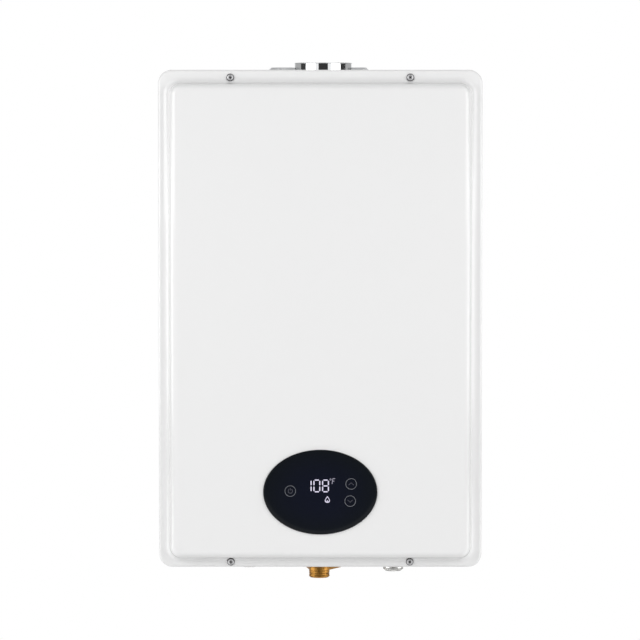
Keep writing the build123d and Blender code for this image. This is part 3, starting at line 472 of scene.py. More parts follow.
def make_finishes(cover, dial):
    """Every finish of the heater by the name of its material slot."""
    level_lines = (0.04, 0.04, 1.0)
    made = [
        enamel_finish(cover.enamel),
        powder_finish(),
        zinc_finish(),
        chrome_finish(),
        nickel_finish(),
        brass_finish(),
        glass_finish(dial.glass),
        board_finish(),
        copper_finish(),
        cast_finish(),
        ceramic_finish(),
        brushed_metal("screw_steel", (0.62, 0.62, 0.63), 0.30, (1.0, 0.2, 1.0), 1300, 0.20, 0.6),
        brushed_metal("stainless", (0.60, 0.59, 0.57), 0.30, level_lines),
        brushed_metal("thermostat", (0.66, 0.66, 0.66), 0.25, (1.0, 0.1, 1.0)),
        moulded_finish("housing_plastic", (0.035, 0.035, 0.040), 0.45),
        moulded_finish("led_white", (0.70, 0.70, 0.70), 0.40),
        moulded_finish("rubber_seal", (0.42, 0.10, 0.07), 0.65),
        moulded_finish("black_rubber", (0.025, 0.025, 0.025), 0.70, 900),
        moulded_finish("motor_black", (0.03, 0.03, 0.032), 0.38, 2400, 0.3),
        brushed_metal("pipe_steel", (0.60, 0.57, 0.42), 0.34, level_lines),
        moulded_finish("sensor_plastic", (0.68, 0.68, 0.64), 0.42),
        moulded_finish("drain_plastic", (0.045, 0.045, 0.05), 0.42),
        # Screw recess: dark steel that paints the shade in the cross recesses and a dark reflection on
        # the head rims.
        brushed_metal("screw_recess", (0.075, 0.075, 0.08), 0.45, (1.0, 0.2, 1.0), 1300, 0.25, 0.5),
        glow_finish("display_glow", dial.glow, dial.glow_strength),
        glow_finish("display_dim", dial.glow, dial.glow_strength * 0.45),
        print_finish("key_print", (0.30, 0.31, 0.33)),
        print_finish("key_icon", (0.10, 0.10, 0.12)),
    ]
    return {finish.material.name: finish.material for finish in made}


# ------------------------------------------------------------------------ mesh helpers

def finish_piece(name, bm, finishes, stands_for=(), body="root", sharp=32):
    """Turn a closed mesh into a shaded piece that rides on a body of the frame."""
    bmesh.ops.recalc_face_normals(bm, faces=bm.faces)
    if not all(edge.is_manifold for edge in bm.edges):
        raise RuntimeError(name + " isn't closed")
    for face in bm.faces:
        face.smooth = True
    for edge in bm.edges:
        edge.smooth = edge.calc_face_angle() < radians(sharp)
    mesh = bpy.data.meshes.new(name)
    bm.to_mesh(mesh)
    bm.free()
    piece = bpy.data.objects.new(name, mesh)
    bpy.context.scene.collection.objects.link(piece)
    for finish in finishes.split():
        mesh.materials.append(bpy.data.materials[finish])
    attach(piece, body)
    if stands_for:
        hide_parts(*stands_for)
    return piece


def turned(bm, profile, centre, axis=(0, 0, 1), steps=64):
    """Spin a profile of (radius, height) pairs round an axis through the centre."""
    centre, axis = Vector(centre), Vector(axis)
    points = []
    for radius, height in profile:
        points.append(bm.verts.new(centre + Vector((radius, 0, 0)) + axis * height))
    lines = [bm.edges.new(pair) for pair in zip(points, points[1:])]
    bmesh.ops.spin(
        bm, geom=points + lines, cent=centre, axis=axis, angle=tau, steps=steps, use_merge=True
    )
    bmesh.ops.remove_doubles(bm, verts=bm.verts, dist=1e-7)


def slab(bm, outline, thickness, place):
    """Extrude a closed flat outline by a thickness, and return the vertices of its far face."""
    base = bm.faces.new([bm.verts.new(place @ Vector((u, v, 0))) for u, v in outline])
    grown = bmesh.ops.extrude_face_region(bm, geom=[base])["geom"]
    points = [item for item in grown if isinstance(item, bmesh.types.BMVert)]
    bmesh.ops.translate(bm, verts=points, vec=place.to_3x3() @ Vector((0, 0, thickness)))
    return points


def carve(bm, other, operation="DIFFERENCE"):
    """Take another closed mesh away from the closed mesh, or join it on as a union."""
    holders = []
    for shape in (bm, other):
        bmesh.ops.recalc_face_normals(shape, faces=shape.faces)
        mesh = bpy.data.meshes.new("carving")
        shape.to_mesh(mesh)
        holder = bpy.data.objects.new("carving", mesh)
        bpy.context.scene.collection.objects.link(holder)
        holders.append(holder)
    cut = holders[0].modifiers.new("cut", "BOOLEAN")
    cut.solver = "EXACT"
    cut.operation = operation
    cut.object = holders[1]
    shown = holders[0].evaluated_get(bpy.context.evaluated_depsgraph_get())
    left = bpy.data.meshes.new_from_object(shown)
    bm.clear()
    bm.from_mesh(left)
    other.free()
    for mesh in [left] + [holder.data for holder in holders]:
        bpy.data.meshes.remove(mesh)


def pierce(bm, outline, place, depth):
    """Cut a straight hole that reaches half its depth to either side of the place."""
    cutter = bmesh.new()
    slab(cutter, outline, depth, place @ Matrix.Translation((0, 0, -depth / 2)))
    carve(bm, cutter)


def round_edges(bm, height, upright, reach, segments):
    """Round either the upright edges of a level slab of that height or all its level ones."""
    edges = []
    for edge in bm.edges:
        start, end = (vert.co.z for vert in edge.verts)
        if (abs(start - end) > height / 2) == upright:
            edges.append(edge)
    bmesh.ops.bevel(
        bm, geom=edges, offset=reach, segments=segments, profile=0.5, affect="EDGES", material=-1
    )


def arc(radius, start, end, steps, centre=(0.0, 0.0)):
    """Points along an arc between two angles in degrees."""
    turns = [radians(start + (end - start) * step / steps) for step in range(steps + 1)]
    return [(centre[0] + radius * cos(turn), centre[1] + radius * sin(turn)) for turn in turns]


def circle(radius, steps, centre=(0.0, 0.0)):
    """Points round a whole circle."""
    return arc(radius, 0, 360, steps, centre)[:-1]


def bar(start, end, width):
    """Outline of a straight stroke with pointed ends."""
    start, end = Vector(start), Vector(end)
    along = (end - start).normalized() * width / 2
    side = Vector((-along.y, along.x))
    corners = (start, start + along + side, end - along + side, end)
    return [tuple(point) for point in (*corners, end - along - side, start + along - side)]


def threaded_stub(axis, tip, top, lead, above, fittings):
    """A bored stub that hangs down, with a helical groove from its chamfered tip to a top.

    The lead is the height of the chamfer. The points above close the profile back to the bore.
    """
    radius, bore, pitch = fittings.thread_radius, fittings.bore_radius, fittings.thread_pitch
    low = tip + lead
    rings = int((top - low) / pitch * 8)
    wall = [(radius, low + (top - low) * ring / rings) for ring in range(rings + 1)]
    bm = bmesh.new()
    profile = [(bore, tip), (radius - lead, tip), *wall, *above, (bore, tip)]
    turned(bm, profile, (axis.x, axis.y, 0), steps=96)
    for vert in bm.verts:
        out = Vector((vert.co.x - axis.x, vert.co.y - axis.y))
        if low < vert.co.z < top and abs(out.length - radius) < 0.05 * MM:
            turn = vert.co.z / pitch + atan2(out.y, out.x) / tau
            groove = 1 - abs(turn % 1 * 2 - 1)
            fade = min(1, (vert.co.z - low) / pitch, (top - vert.co.z) / pitch)
            out *= 1 - fittings.thread_depth * groove * fade / radius
            vert.co.x, vert.co.y = axis.x + out.x, axis.y + out.y
    return bm


def rounded(across, up, corner, steps=12):
    """Outline of a rounded rectangle by its half width and half height."""
    x, y = across - corner, up - corner
    points = []
    for quarter, centre in enumerate(((x, y), (-x, y), (-x, -y), (x, -y))):
        points += arc(corner, 90 * quarter, 90 * quarter + 90, steps, centre)
    return points


def facing_front(x, y, z):
    """Place flat outlines upright, facing the user: u to the right, v up."""
    return Matrix(((1, 0, 0, x), (0, 0, -1, y), (0, 1, 0, z), (0, 0, 0, 1)))


def lying(x, y, z, turn=0.0):
    """Place flat outlines level: u to the right, v into the wall, growing upwards."""
    return Matrix.Translation((x, y, z)) @ Matrix.Rotation(radians(turn), 4, "Z")


def hex_nut(middle, low, high, flat, turn, bore):
    """A bored hexagon nut whose corners are turned off at both ends."""
    bm = bmesh.new()
    place = lying(middle.x, middle.y, low, turn)
    thick = high - low
    reach = flat / 2 / cos(radians(30))
    slab(bm, circle(reach, 6), thick, place)
    slope, margin, guard = 0.58, 0.35 * MM, 0.1 * MM
    edge = flat / 2 - margin
    corner = (reach - edge) * slope
    wall, outer = reach + guard / 10, reach + guard * 10
    chamfers = [(edge, 0), (wall, corner), (wall, thick - corner), (edge, thick)]
    chamfers += [(outer, thick + guard), (outer, -guard), (edge, 0)]
    cutter = bmesh.new()
    turned(cutter, chamfers, (middle.x, middle.y, low), steps=96)
    carve(bm, cutter)
    pierce(bm, circle(bore, 96), place, 3 * thick)
    return bm


def pan_screw(place, head, rise, shank, length, recess):
    """A pan-head screw with a tapered cross recess; place puts its seat, with the head along w.

    The recess and the rim of the head show the second finish. Where that finish is dark, it is painted
    shade in the recess and a painted dark reflection on the steep rim.
    """
    roundness, steps, painted_shade_rim_start, tip = 0.7, 10, 0.78, 0.85
    turns = [radians(90 * step / steps) for step in range(steps)]
    dome = [(head * cos(turn) ** roundness, rise * sin(turn) ** roundness) for turn in turns]
    profile = [(0, -length), (shank * 0.6, -length), (shank, -length * tip), (shank, 0)]
    bm = bmesh.new()
    turned(bm, [*profile, *dome, (0, rise)], (0, 0, 0), steps=48)
    for face in bm.faces:
        # Faces out on the head's rim take the second finish; on the cover screws that is a painted dark
        # reflection on the steep flank.
        face.material_index = int(face.calc_center_median().xy.length > head * painted_shade_rim_start)
    arm, span, depth, taper = recess * 0.11, recess / 2, rise * 0.72, 0.5
    quarter = [(span, -arm), (span, arm), (arm * 1.5, arm * 1.5)]
    outline = []
    for turn in range(4):
        spin = Matrix.Rotation(radians(90 * turn), 2)
        outline += [tuple(spin @ Vector(point)) for point in quarter]
    cross = bmesh.new()
    slab(cross, outline, depth + rise, lying(0, 0, rise - depth))
    for vert in cross.verts:
        if vert.co.z < rise:
            vert.co.xy *= taper
    # The cross recess takes the second finish too; on the cover screws that is painted shade inside the
    # recess.
    for face in cross.faces:
        face.material_index = 1
    carve(bm, cross)
    bmesh.ops.transform(bm, matrix=place, verts=bm.verts)
    return bm


def merged(shapes):
    """One mesh of several closed meshes."""
    whole = bmesh.new()
    for shape in shapes:
        mesh = bpy.data.meshes.new("part")
        shape.to_mesh(mesh)
        shape.free()
        whole.from_mesh(mesh)
        bpy.data.meshes.remove(mesh)
    return whole


def mount(name):
    """Where a mount of the frame sits."""
    return next(Vector(item["pos_m"]) for item in frame["record"]["mounts"] if item["name"] == name)


def bounds_of(node):
    """Lowest corner, highest corner and middle of a node of the frame."""
    low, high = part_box(node)
    return low, high, (low + high) / 2


# -------------------------------------------------------------------------- operators

class HEATER_OT_finishes(bpy.types.Operator):
    """Give every part of the frame its procedural finish"""

    bl_idname = "heater.finishes"
    bl_label = "Finishes"

    def execute(self, context):
        scene = context.scene
        places = [place for node in frame["nodes"].values() for place in node.material_slots]
        for packed in {place.material for place in places}:
            packed.name = "packed_" + packed.name
        finishes = make_finishes(scene.heater_cover, scene.heater_dial)
        for place in places:
            place.material = finishes[place.material.name.removeprefix("packed_").split(".")[0]]
        return {"FINISHED"}


class HEATER_OT_front_cover(bpy.types.Operator):
    """Build the pressed front cover, with the soft bends of its step"""

    bl_idname = "heater.front_cover"
    bl_label = "Front cover"

    corner = 14 * MM
    edge = 2.5 * MM
    rise = 18 * MM
    step_corner = 11 * MM
    step_margins = (11.8 * MM, 10.6 * MM, 14 * MM)
    land = 4.6 * MM
    screw_hole = 2.3 * MM
    glass_ledge = 3.2 * MM
    guard = 0.1 * MM

    def execute(self, context):
        cover = context.scene.heater_cover
        low, high, _ = bounds_of("front_cover")
        outside = self.form(low, high, cover, 0)
        carve(outside, self.form(low, high, cover, cover.sheet))
        rim = low.y + self.rise
        for x, z in screw_places(cover):
            self.drill(outside, (x, rim, z), (self.screw_hole, self.screw_hole), 3 * cover.sheet)
        glass_low, glass_high, middle = bounds_of("panel_glass")
        reach = [(glass_high[axis] - glass_low[axis]) / 2 - self.glass_ledge for axis in (0, 2)]
        self.drill(outside, (middle.x, low.y, middle.z), reach, 3 * cover.sheet)
        finish_piece("pressed_cover", outside, "white_enamel", ["front_cover"])
        return {"FINISHED"}

    def form(self, low, high, cover, inset):
        """The closed form of the cover with all its faces moved in by an inset."""
        side, bottom, top = self.step_margins
        outer = (high.x, low.z, high.z, self.corner)
        step = (high.x - side, low.z + bottom, high.z - top, self.step_corner)
        rim, face = low.y + self.rise + inset, low.y + inset
        back = high.y + (MM if inset else 0)
        edge = self.edge - inset
        rings = [self.ring(outer, inset, back), self.ring(outer, inset, rim + edge + self.guard)]
        for out, up in arc(edge, 0, 90, 6):
            rings.append(self.ring(outer, inset + edge - out, rim + edge - up))
        rings.append(self.ring(outer, inset + edge + self.guard, rim))
        bends = self.bends(cover, rim, face, inset)
        rings += [self.ring(step, reach, depth) for reach, depth in bends]
        bm = bmesh.new()
        loops = [[bm.verts.new(point) for point in ring] for ring in rings]
        for near, far in zip(loops, loops[1:]):
            for index, corner in enumerate(near):
                bm.faces.new((near[index - 1], corner, far[index], far[index - 1]))
        bm.faces.new(loops[0])
        bm.faces.new(loops[-1])
        for x, z in screw_places(cover):
            self.drill(bm, (x, rim - self.rise, z), [self.land + inset] * 2, 2 * self.rise)
        return bm

    def bends(self, cover, rim, face, inset):
        """Profile of the step: its way in from the middle of the step, and where it stands in y."""
        steepest = radians(cover.step_lean)
        radius = cover.step_radius
        straight = self.rise - 2 * radius * (1 - cos(steepest))
        centre = straight / 2 / tan(steepest) + radius * sin(steepest)
        steps = 14
        turns = [steepest * step / steps for step in range(steps + 1)]
        foot, brow = radius + inset, radius - inset
        rising = [(foot * sin(turn) - centre, rim - foot * (1 - cos(turn))) for turn in turns]
        falling = [(centre - brow * sin(turn), face + brow * (1 - cos(turn))) for turn in turns]
        start, end = (-centre - self.guard, rim), (centre + self.guard, face)
        return [start, *rising, *reversed(falling), end]

    def ring(self, shape, inset, y):
        """Points of a rounded rectangle, moved in by an inset, at a place in y."""
        half, low, high, corner = shape
        outline = rounded(half - inset, (high - low) / 2 - inset, corner - inset, 16)
        return [(x, y, z + (low + high) / 2) for x, z in outline]

    def drill(self, bm, middle, reach, depth):
        """Take away an elliptical core that lies along Y round its middle."""
        outline = [(x * reach[0], z * reach[1]) for x, z in circle(1, 96)]
        pierce(bm, outline, facing_front(*middle), depth)


def screw_places(cover):
    """Where the four cover screws stand, seen from the front."""
    low, high, _ = bounds_of("cover_screws")
    reach = cover.screw_radius
    return [(x, z) for x in (low.x + reach, high.x - reach) for z in (high.z - reach, low.z + reach)]


class HEATER_OT_cover_screws(bpy.types.Operator):
    """Build the four cross-recess screws that hold the front cover"""

    bl_idname = "heater.cover_screws"
    bl_label = "Cover screws"

    rise = 2.3 * MM
    shank = 2 * MM
    turns = (8, 80, 35, 50)

    def execute(self, context):
        cover = context.scene.heater_cover
        head = cover.screw_radius
        low, high, _ = bounds_of("cover_screws")
        seat = low.y + self.rise
        shapes = []
        for (x, z), turn in zip(screw_places(cover), self.turns):
            place = facing_front(x, seat, z) @ Matrix.Rotation(radians(turn), 4, "Z")
            length = high.y - seat
            shapes.append(pan_screw(place, head, self.rise, self.shank, length, cover.recess_span))
        # The dark second finish is painted shade in the recesses and a painted dark reflection on the
        # rims of the heads.
        finishes = "screw_steel screw_recess"
        finish_piece("screws_on_cover", merged(shapes), finishes, ["cover_screws"])
        return {"FINISHED"}


class HEATER_OT_dial(bpy.types.Operator):
    """Build the oval glass with its printed keys and lit display"""

    bl_idname = "heater.dial"
    bl_label = "Touch panel"

    power_key = (-30.5 * MM, 1.2 * MM)
    up_key = (31.4 * MM, 8.5 * MM)
    down_key = (30.4 * MM, -9.0 * MM)
    digit_pitch = 8.8 * MM
    last_digit = 5.3 * MM
    digit_middle = 6.5 * MM
    digit_half_width = 2.95 * MM
    digit_half_height = 5.95 * MM
    segment_width = 1.2 * MM
    ink = 0.05 * MM
    segments = {
        "a": (-1, 1, 1, 1), "b": (1, 1, 1, 0), "c": (1, 0, 1, -1), "d": (-1, -1, 1, -1),
        "e": (-1, 0, -1, -1), "f": (-1, 1, -1, 0), "g": (-1, 0, 1, 0),
    }
    lit = {
        "0": "abcdef", "1": "bc", "2": "abdeg", "3": "abcdg", "4": "bcfg",
        "5": "acdfg", "6": "acdefg", "7": "abc", "8": "abcdefg", "9": "abcdfg",
    }

    def execute(self, context):
        dial = context.scene.heater_dial
        low, high, middle = bounds_of("panel_glass")
        self.face = facing_front(middle.x, low.y + self.ink / 2, middle.z)
        self.build_glass(low, high, middle)
        self.build_keys(dial.key_radius)
        self.build_digits(dial.digits)
        self.build_unit()
        self.build_flame()
        return {"FINISHED"}

    def build_glass(self, low, high, middle):
        thick, tall, soft = high.y - low.y, (high.z - low.z) / 2, 0.7 * MM
        rim = arc(soft, 0, 90, 6, (tall - soft, thick - soft))
        rings = [(tall * share, thick) for share in (0.9, 0.6, 0.3)]
        profile = [(0, 0), (tall, 0), *rim, *rings, (0, thick)]
        bm = bmesh.new()
        turned(bm, profile, (middle.x, high.y, middle.z), (0, -1, 0), 128)
        wide = (high.x - low.x) / 2 / tall
        for vert in bm.verts:
            vert.co.x = middle.x + (vert.co.x - middle.x) * wide
        finish_piece("touch_glass", bm, "panel_glass", ["panel_glass"])

    def strokes(self, name, outlines, finish):
        bm = bmesh.new()
        for outline in outlines:
            slab(bm, outline, self.ink, self.face)
        finish_piece(name, bm, finish)

    def ring(self, bm, centre, radius, width):
        place = self.face @ Vector((*centre, 0))
        profile = [(radius - width, 0), (radius, 0), (radius, self.ink), (radius - width, self.ink)]
        turned(bm, [*profile, profile[0]], place, (0, -1, 0), 64)

    def build_keys(self, radius):
        rings = bmesh.new()
        for centre in (self.power_key, self.up_key, self.down_key):
            self.ring(rings, centre, radius, 0.34 * MM)
        finish_piece("key_rings", rings, "key_print")
        width, arrow_tip, arrow_foot, arrow_span = 0.55 * MM, 1.5 * MM, 0.7 * MM, 2.6 * MM
        icons = []
        for (x, z), lean in ((self.up_key, 1), (self.down_key, -1)):
            foot, thick = z - lean * arrow_foot, lean * width * 1.3
            over = [(x - arrow_span, foot), (x, z + lean * arrow_tip), (x + arrow_span, foot)]
            icons.append(over + [(across, up - thick) for across, up in reversed(over)])
        x, z = self.power_key
        sign, start, end = 2.5 * MM, 122, 418
        icons.append(bar((x, z + 0.6 * MM), (x, z + 3.2 * MM), width))
        icons.append(arc(sign, start, end, 36, (x, z)) + arc(sign - width, end, start, 36, (x, z)))
        self.strokes("key_icons", icons, "key_icon")

    def build_digits(self, digits):
        half, tall, gap = self.digit_half_width, self.digit_half_height, 0.5 * MM
        outlines = []
        for place, digit in enumerate(reversed(digits)):
            shift = Vector((self.last_digit - place * self.digit_pitch, self.digit_middle))
            for segment in self.lit[digit]:
                left, top, right, low = self.segments[segment]
                start = Vector((left * half, top * tall)) + shift
                end = Vector((right * half, low * tall)) + shift
                trim = (end - start).normalized() * gap
                outlines.append(bar(start + trim, end - trim, self.segment_width))
        self.strokes("temperature_digits", outlines, "display_glow")

    def build_unit(self):
        degree = bmesh.new()
        self.ring(degree, (10.4 * MM, 13.1 * MM), 0.95 * MM, 0.45 * MM)
        finish_piece("degree_sign", degree, "display_dim")
        x, z = 11.6 * MM, 8.5 * MM
        tall, arm, stroke, lean = 5.8 * MM, 2.6 * MM, 0.7 * MM, 0.16
        short, under = arm * 0.85, 2.5 * MM
        over, brow = under + stroke, tall - stroke
        corners = [(0, 0), (stroke, 0), (stroke, under), (short, under), (short, over)]
        corners += [(stroke, over), (stroke, brow), (arm, brow), (arm, tall), (0, tall)]
        letter = [(x + across + lean * up, z + up) for across, up in corners]
        self.strokes("fahrenheit_letter", [letter], "display_dim")

    def drop(self, width, tall, foot):
        """A flame or drop outline: round below and pointed at the top."""
        x, z = foot
        steps, point = 40, 1.4
        outline = []
        for turn in [tau * step / steps for step in range(steps)]:
            across = width * sin(turn) * abs(sin(turn / 2)) ** point
            outline.append((x + across, z + tall * (1 + cos(turn)) / 2))
        return outline

    def build_flame(self):
        x, z = 7.2 * MM, -10.7 * MM
        wide, tall, line = 3.6 * MM, 7.0 * MM, 1.1 * MM
        inside = self.drop(wide - line, tall - 2.2 * line, (x, z + line))
        bm = bmesh.new()
        slab(bm, self.drop(wide, tall, (x, z)), self.ink, self.face)
        pierce(bm, inside, self.face, 4 * self.ink)
        finish_piece("flame_outline", bm, "display_glow")
        core = self.drop(0.9 * MM, 1.5 * MM, (x, z + 1.3 * MM))
        self.strokes("flame_core", [core], "display_glow")


class HEATER_OT_flue(bpy.types.Operator):
    """Build the chrome exhaust collar, its galvanised flange and the screws of the flange"""

    bl_idname = "heater.flue"
    bl_label = "Flue"

    outside = 30 * MM
    sheet = 0.8 * MM
    bead = 0.5 * MM
    foot_sheet = 1.2 * MM
    foot_half = (38 * MM, 33 * MM)
    foot_corner = 6 * MM
    ledge = 3 * MM
    fillet = 0.6 * MM
    overlap = 0.1 * MM
    opening = 30.2 * MM
    flange_sheet = 1 * MM
    flange_corner = 6 * MM
    plateau = (12 * MM, 29 * MM)
    plateau_corner = 8 * MM
    screw_rise = 1.5 * MM
    screw_head = 2.8 * MM
    screw_shank = 1.7 * MM
    screw_recess = 3.2 * MM
    screw_turns = (20, 65, 5, 80)

    def execute(self, context):
        low, high, middle = bounds_of("flue_collar")
        outside, base, tall = self.outside, self.foot_sheet, high.z - low.z
        inside = outside - self.sheet
        bm = bmesh.new()
        lip = arc(self.bead, -60, 240, 10, (outside - self.sheet / 2, tall - self.bead))
        brim, soft, half = outside + self.ledge, self.fillet, tall / 2
        profile = [(inside, 0), (brim, 0), (brim, base), (outside + soft, base), (outside, base + soft)]
        profile += [(outside, half), *lip, (inside, half), (inside, 0)]
        turned(bm, profile, (middle.x, middle.y, low.z), steps=128)
        across, deep = self.foot_half
        foot = bmesh.new()
        level = lying(middle.x, middle.y, low.z)
        slab(foot, [(-across, -deep), (across, -deep), (across, deep), (-across, deep)], base, level)
        round_edges(foot, base, True, self.foot_corner, 6)
        pierce(foot, circle(brim - self.overlap, 128), level, 4 * base)
        finish_piece("exhaust_collar", merged([bm, foot]), "chrome", ["flue_collar"])
        self.build_flange(middle)
        self.build_screws()
        return {"FINISHED"}

    def build_flange(self, collar):
        """A pressed flange: a thin brim with a raised back and sides round the collar."""
        low, high, middle = bounds_of("flue_flange")
        half = (high.x - low.x) / 2
        front, back = self.plateau
        centre = Vector((middle.x, middle.y + (back - front) / 2))
        deep = (back + front) / 2
        outline = rounded(half, (high.y - low.y) / 2, self.flange_corner)
        brim = bmesh.new()
        slab(brim, outline, self.flange_sheet, lying(middle.x, middle.y, low.z))
        raised = bmesh.new()
        rise = high.z - low.z
        for vert in slab(raised, rounded(half, deep, self.plateau_corner), rise, lying(*centre, low.z)):
            vert.co.x -= rise * (vert.co.x - centre.x) / half
            vert.co.y -= rise * (vert.co.y - centre.y) / deep
        carve(brim, raised, "UNION")
        pierce(brim, circle(self.opening, 96), lying(collar.x, collar.y, low.z), 4 * rise)
        finish_piece("flange_plate", brim, "galvanised", ["flue_flange"])

    def build_screws(self):
        low, high, _ = bounds_of("flange_screws")
        rise, head = self.screw_rise, self.screw_head
        seat = high.z - rise
        spots = [(x, y) for x in (low.x + head, high.x - head) for y in (low.y + head, high.y - head)]
        shapes = []
        for (x, y), turn in zip(spots, self.screw_turns):
            place, length = lying(x, y, seat, turn), seat - low.z
            shapes.append(pan_screw(place, head, rise, self.screw_shank, length, self.screw_recess))
        finishes = "screw_steel galvanised"
        finish_piece("screws_on_flange", merged(shapes), finishes, ["flange_screws"])


class HEATER_OT_gas_inlet(bpy.types.Operator):
    """Build the threaded brass gas inlet with its two-eared flange"""

    bl_idname = "heater.gas_inlet"
    bl_label = "Gas inlet"

    core = 10.8 * MM
    collar = 10.4 * MM
    ear = 5.5 * MM
    reach = 27 * MM
    turns = (50, 110)
    ear_hole = 2 * MM
    stub_hole = 9 * MM
    flange = 5 * MM
    neck = 0.9 * MM

    def execute(self, context):
        fittings = context.scene.heater_fittings
        low, high, _ = bounds_of("gas_inlet")
        axis = mount("gas_thread")
        root = high.z - self.flange
        above = [(self.collar, root), (self.collar, high.z), (fittings.bore_radius, high.z)]
        bm = threaded_stub(axis, low.z, root - self.neck, 1.2 * MM, above, fittings)
        carve(bm, self.flange_plate(axis, root, self.flange), "UNION")
        finish_piece("gas_stub", bm, "brass", ["gas_inlet"])
        return {"FINISHED"}

    def flange_plate(self, axis, root, thick):
        """Hull of a round core and two ears, with a hole for the stub and one in each ear."""
        ears = arc(self.reach, *self.turns, 1)
        rims = [point for centre in ears for point in circle(self.ear, 32, centre)]
        rims += circle(self.core, 48)
        outline = [rims[index] for index in convex_hull_2d(rims)]
        place = lying(axis.x, axis.y, root)
        bm = bmesh.new()
        slab(bm, outline, thick, place)
        round_edges(bm, thick, False, 0.5 * MM, 2)
        pierce(bm, circle(self.stub_hole, 64), place, 3 * thick)
        for centre in ears:
            pierce(bm, circle(self.ear_hole, 64, centre), place, 3 * thick)
        return bm


class HEATER_OT_water_fittings(bpy.types.Operator):
    """Build the two threaded water nipples and their locknuts"""

    bl_idname = "heater.water_fittings"
    bl_label = "Water fittings"

    flat = 27 * MM
    head = 8 * MM
    neck = 10.3 * MM
    neck_rise = 1 * MM
    tail = 9.5 * MM
    run_out = 0.4 * MM
    sheet_gap = 1 * MM

    def execute(self, context):
        fittings = context.scene.heater_fittings
        nut_low, nut_high, _ = bounds_of("water_locknuts")
        head_low = nut_high.z + self.sheet_gap
        head_high = head_low + self.head
        step = head_low + self.neck_rise
        nuts = []
        for name in ("cold_inlet", "hot_outlet"):
            low, high, middle = bounds_of(name)
            above = [(self.neck, nut_low.z), (self.neck, step), (self.tail, step), (self.tail, high.z)]
            above.append((fittings.bore_radius, high.z))
            thread_top = nut_low.z - self.run_out
            stub = threaded_stub(middle, low.z, thread_top, 2.2 * MM, above, fittings)
            head = hex_nut(middle, head_low, head_high, self.flat, 0, self.tail)
            finish_piece(name + "_stub", merged([stub, head]), "nickel", [name])
            nuts.append(hex_nut(middle, nut_low.z, nut_high.z, self.flat, 15, self.neck + 0.05 * MM))
        finish_piece("water_nuts", merged(nuts), "nickel", ["water_locknuts"])
        return {"FINISHED"}


class HEATER_OT_drain(bpy.types.Operator):
    """Build the ribbed drain knob, which turns with its screw"""

    bl_idname = "heater.drain"
    bl_label = "Drain knob"

    radius = 8 * MM
    tall = 7 * MM
    edge = 0.9 * MM
    dish = 0.8 * MM
    shank = 4 * MM
    screw = 9 * MM
    ribs = 18
    rib_depth = 0.55 * MM

    def execute(self, context):
        low, _, middle = bounds_of("drain_plug")
        radius, tall, edge = self.radius, self.tall, self.edge
        end = tall + self.screw
        hollow, face = radius * 0.55, radius * 0.62
        profile = [(0, self.dish), (hollow, self.dish), (face, 0), (radius - edge, 0)]
        profile += arc(edge, -90, 0, 4, (radius - edge, edge))
        profile += [(radius, edge + (tall - 2 * edge) * step / 8) for step in range(1, 8)]
        profile += arc(edge, 0, 90, 4, (radius - edge, tall - edge))
        profile += [(self.shank, tall), (self.shank, end), (0, end)]
        bm = bmesh.new()
        turned(bm, profile, (middle.x, middle.y, low.z), steps=self.ribs * 8)
        for vert in bm.verts:
            out = Vector((vert.co.x - middle.x, vert.co.y - middle.y))
            if out.length > radius - edge and vert.co.z < low.z + tall + edge:
                wave = (1 + cos(self.ribs * atan2(out.y, out.x))) / 2
                share = (out.length - radius + edge) / edge
                out *= 1 - self.rib_depth * share * (1 - wave ** 0.6) / radius
                vert.co.x, vert.co.y = middle.x + out.x, middle.y + out.y
        finish_piece("drain_knob", bm, "drain_plastic", ["drain_plug"], "drain_screw")
        return {"FINISHED"}


class HEATER_OT_gland(bpy.types.Operator):
    """Build the empty cable gland under the case"""

    bl_idname = "heater.gland"
    bl_label = "Cable gland"

    flat = 18 * MM
    bore = 3.5 * MM
    neck = 6.2 * MM
    soft = 0.8 * MM
    nuts = ((0, 5 * MM), (6 * MM, 10 * MM))

    def execute(self, context):
        low, high, middle = bounds_of("power_gland")
        flat, bore, neck, soft = self.flat, self.bore, self.neck, self.soft
        nuts = [hex_nut(middle, low.z + start, low.z + end, flat, 0, neck) for start, end in self.nuts]
        tall = high.z - low.z
        profile = [(bore + soft, 0), (neck - soft, 0), (neck, soft), (neck, tall), (bore, tall)]
        profile += [(bore, soft), (bore + soft, 0)]
        bm = bmesh.new()
        turned(bm, profile, (middle.x, middle.y, low.z))
        shapes = merged([bm, *nuts])
        finish_piece("cable_gland", shapes, "housing_plastic", ["power_gland"])
        return {"FINISHED"}


class HEATER_OT_valve_springs(bpy.types.Operator):
    """Wind the wire springs that shut the gas valves"""

    bl_idname = "heater.valve_springs"
    bl_label = "Valve springs"

    wire = 0.5 * MM
    coil = 6.9 * MM
    coils = 6
    steps = 24
    sides = 8
    gap = 0.06 * MM
    lift = 3 * MM

    def execute(self, context):
        for name in ("main", "trim"):
            low, high, middle = bounds_of(name + "_spring")
            length = high.z - low.z
            foot = Vector((middle.x + self.coil, middle.y, low.z + self.wire + self.gap))
            rise = length - 2 * (self.wire + self.gap)
            bm = bmesh.new()
            upright = Matrix.Translation(foot) @ Matrix.Rotation(radians(90), 4, "X")
            bmesh.ops.create_circle(bm, segments=self.sides, radius=self.wire, matrix=upright)
            count = self.steps * self.coils
            bmesh.ops.spin(
                bm, geom=bm.verts[:] + bm.edges[:], cent=middle, axis=(0, 0, 1),
                dvec=(0, 0, rise / count), angle=self.coils * tau, steps=count,
            )
            ends = [edge for edge in bm.edges if edge.is_boundary]
            bmesh.ops.holes_fill(bm, edges=ends, sides=self.sides)
            shown = name + "_wire_spring"
            spring = finish_piece(shown, bm, "stainless", [name + "_spring"], sharp=60)
            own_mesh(spring)
        return {"FINISHED"}


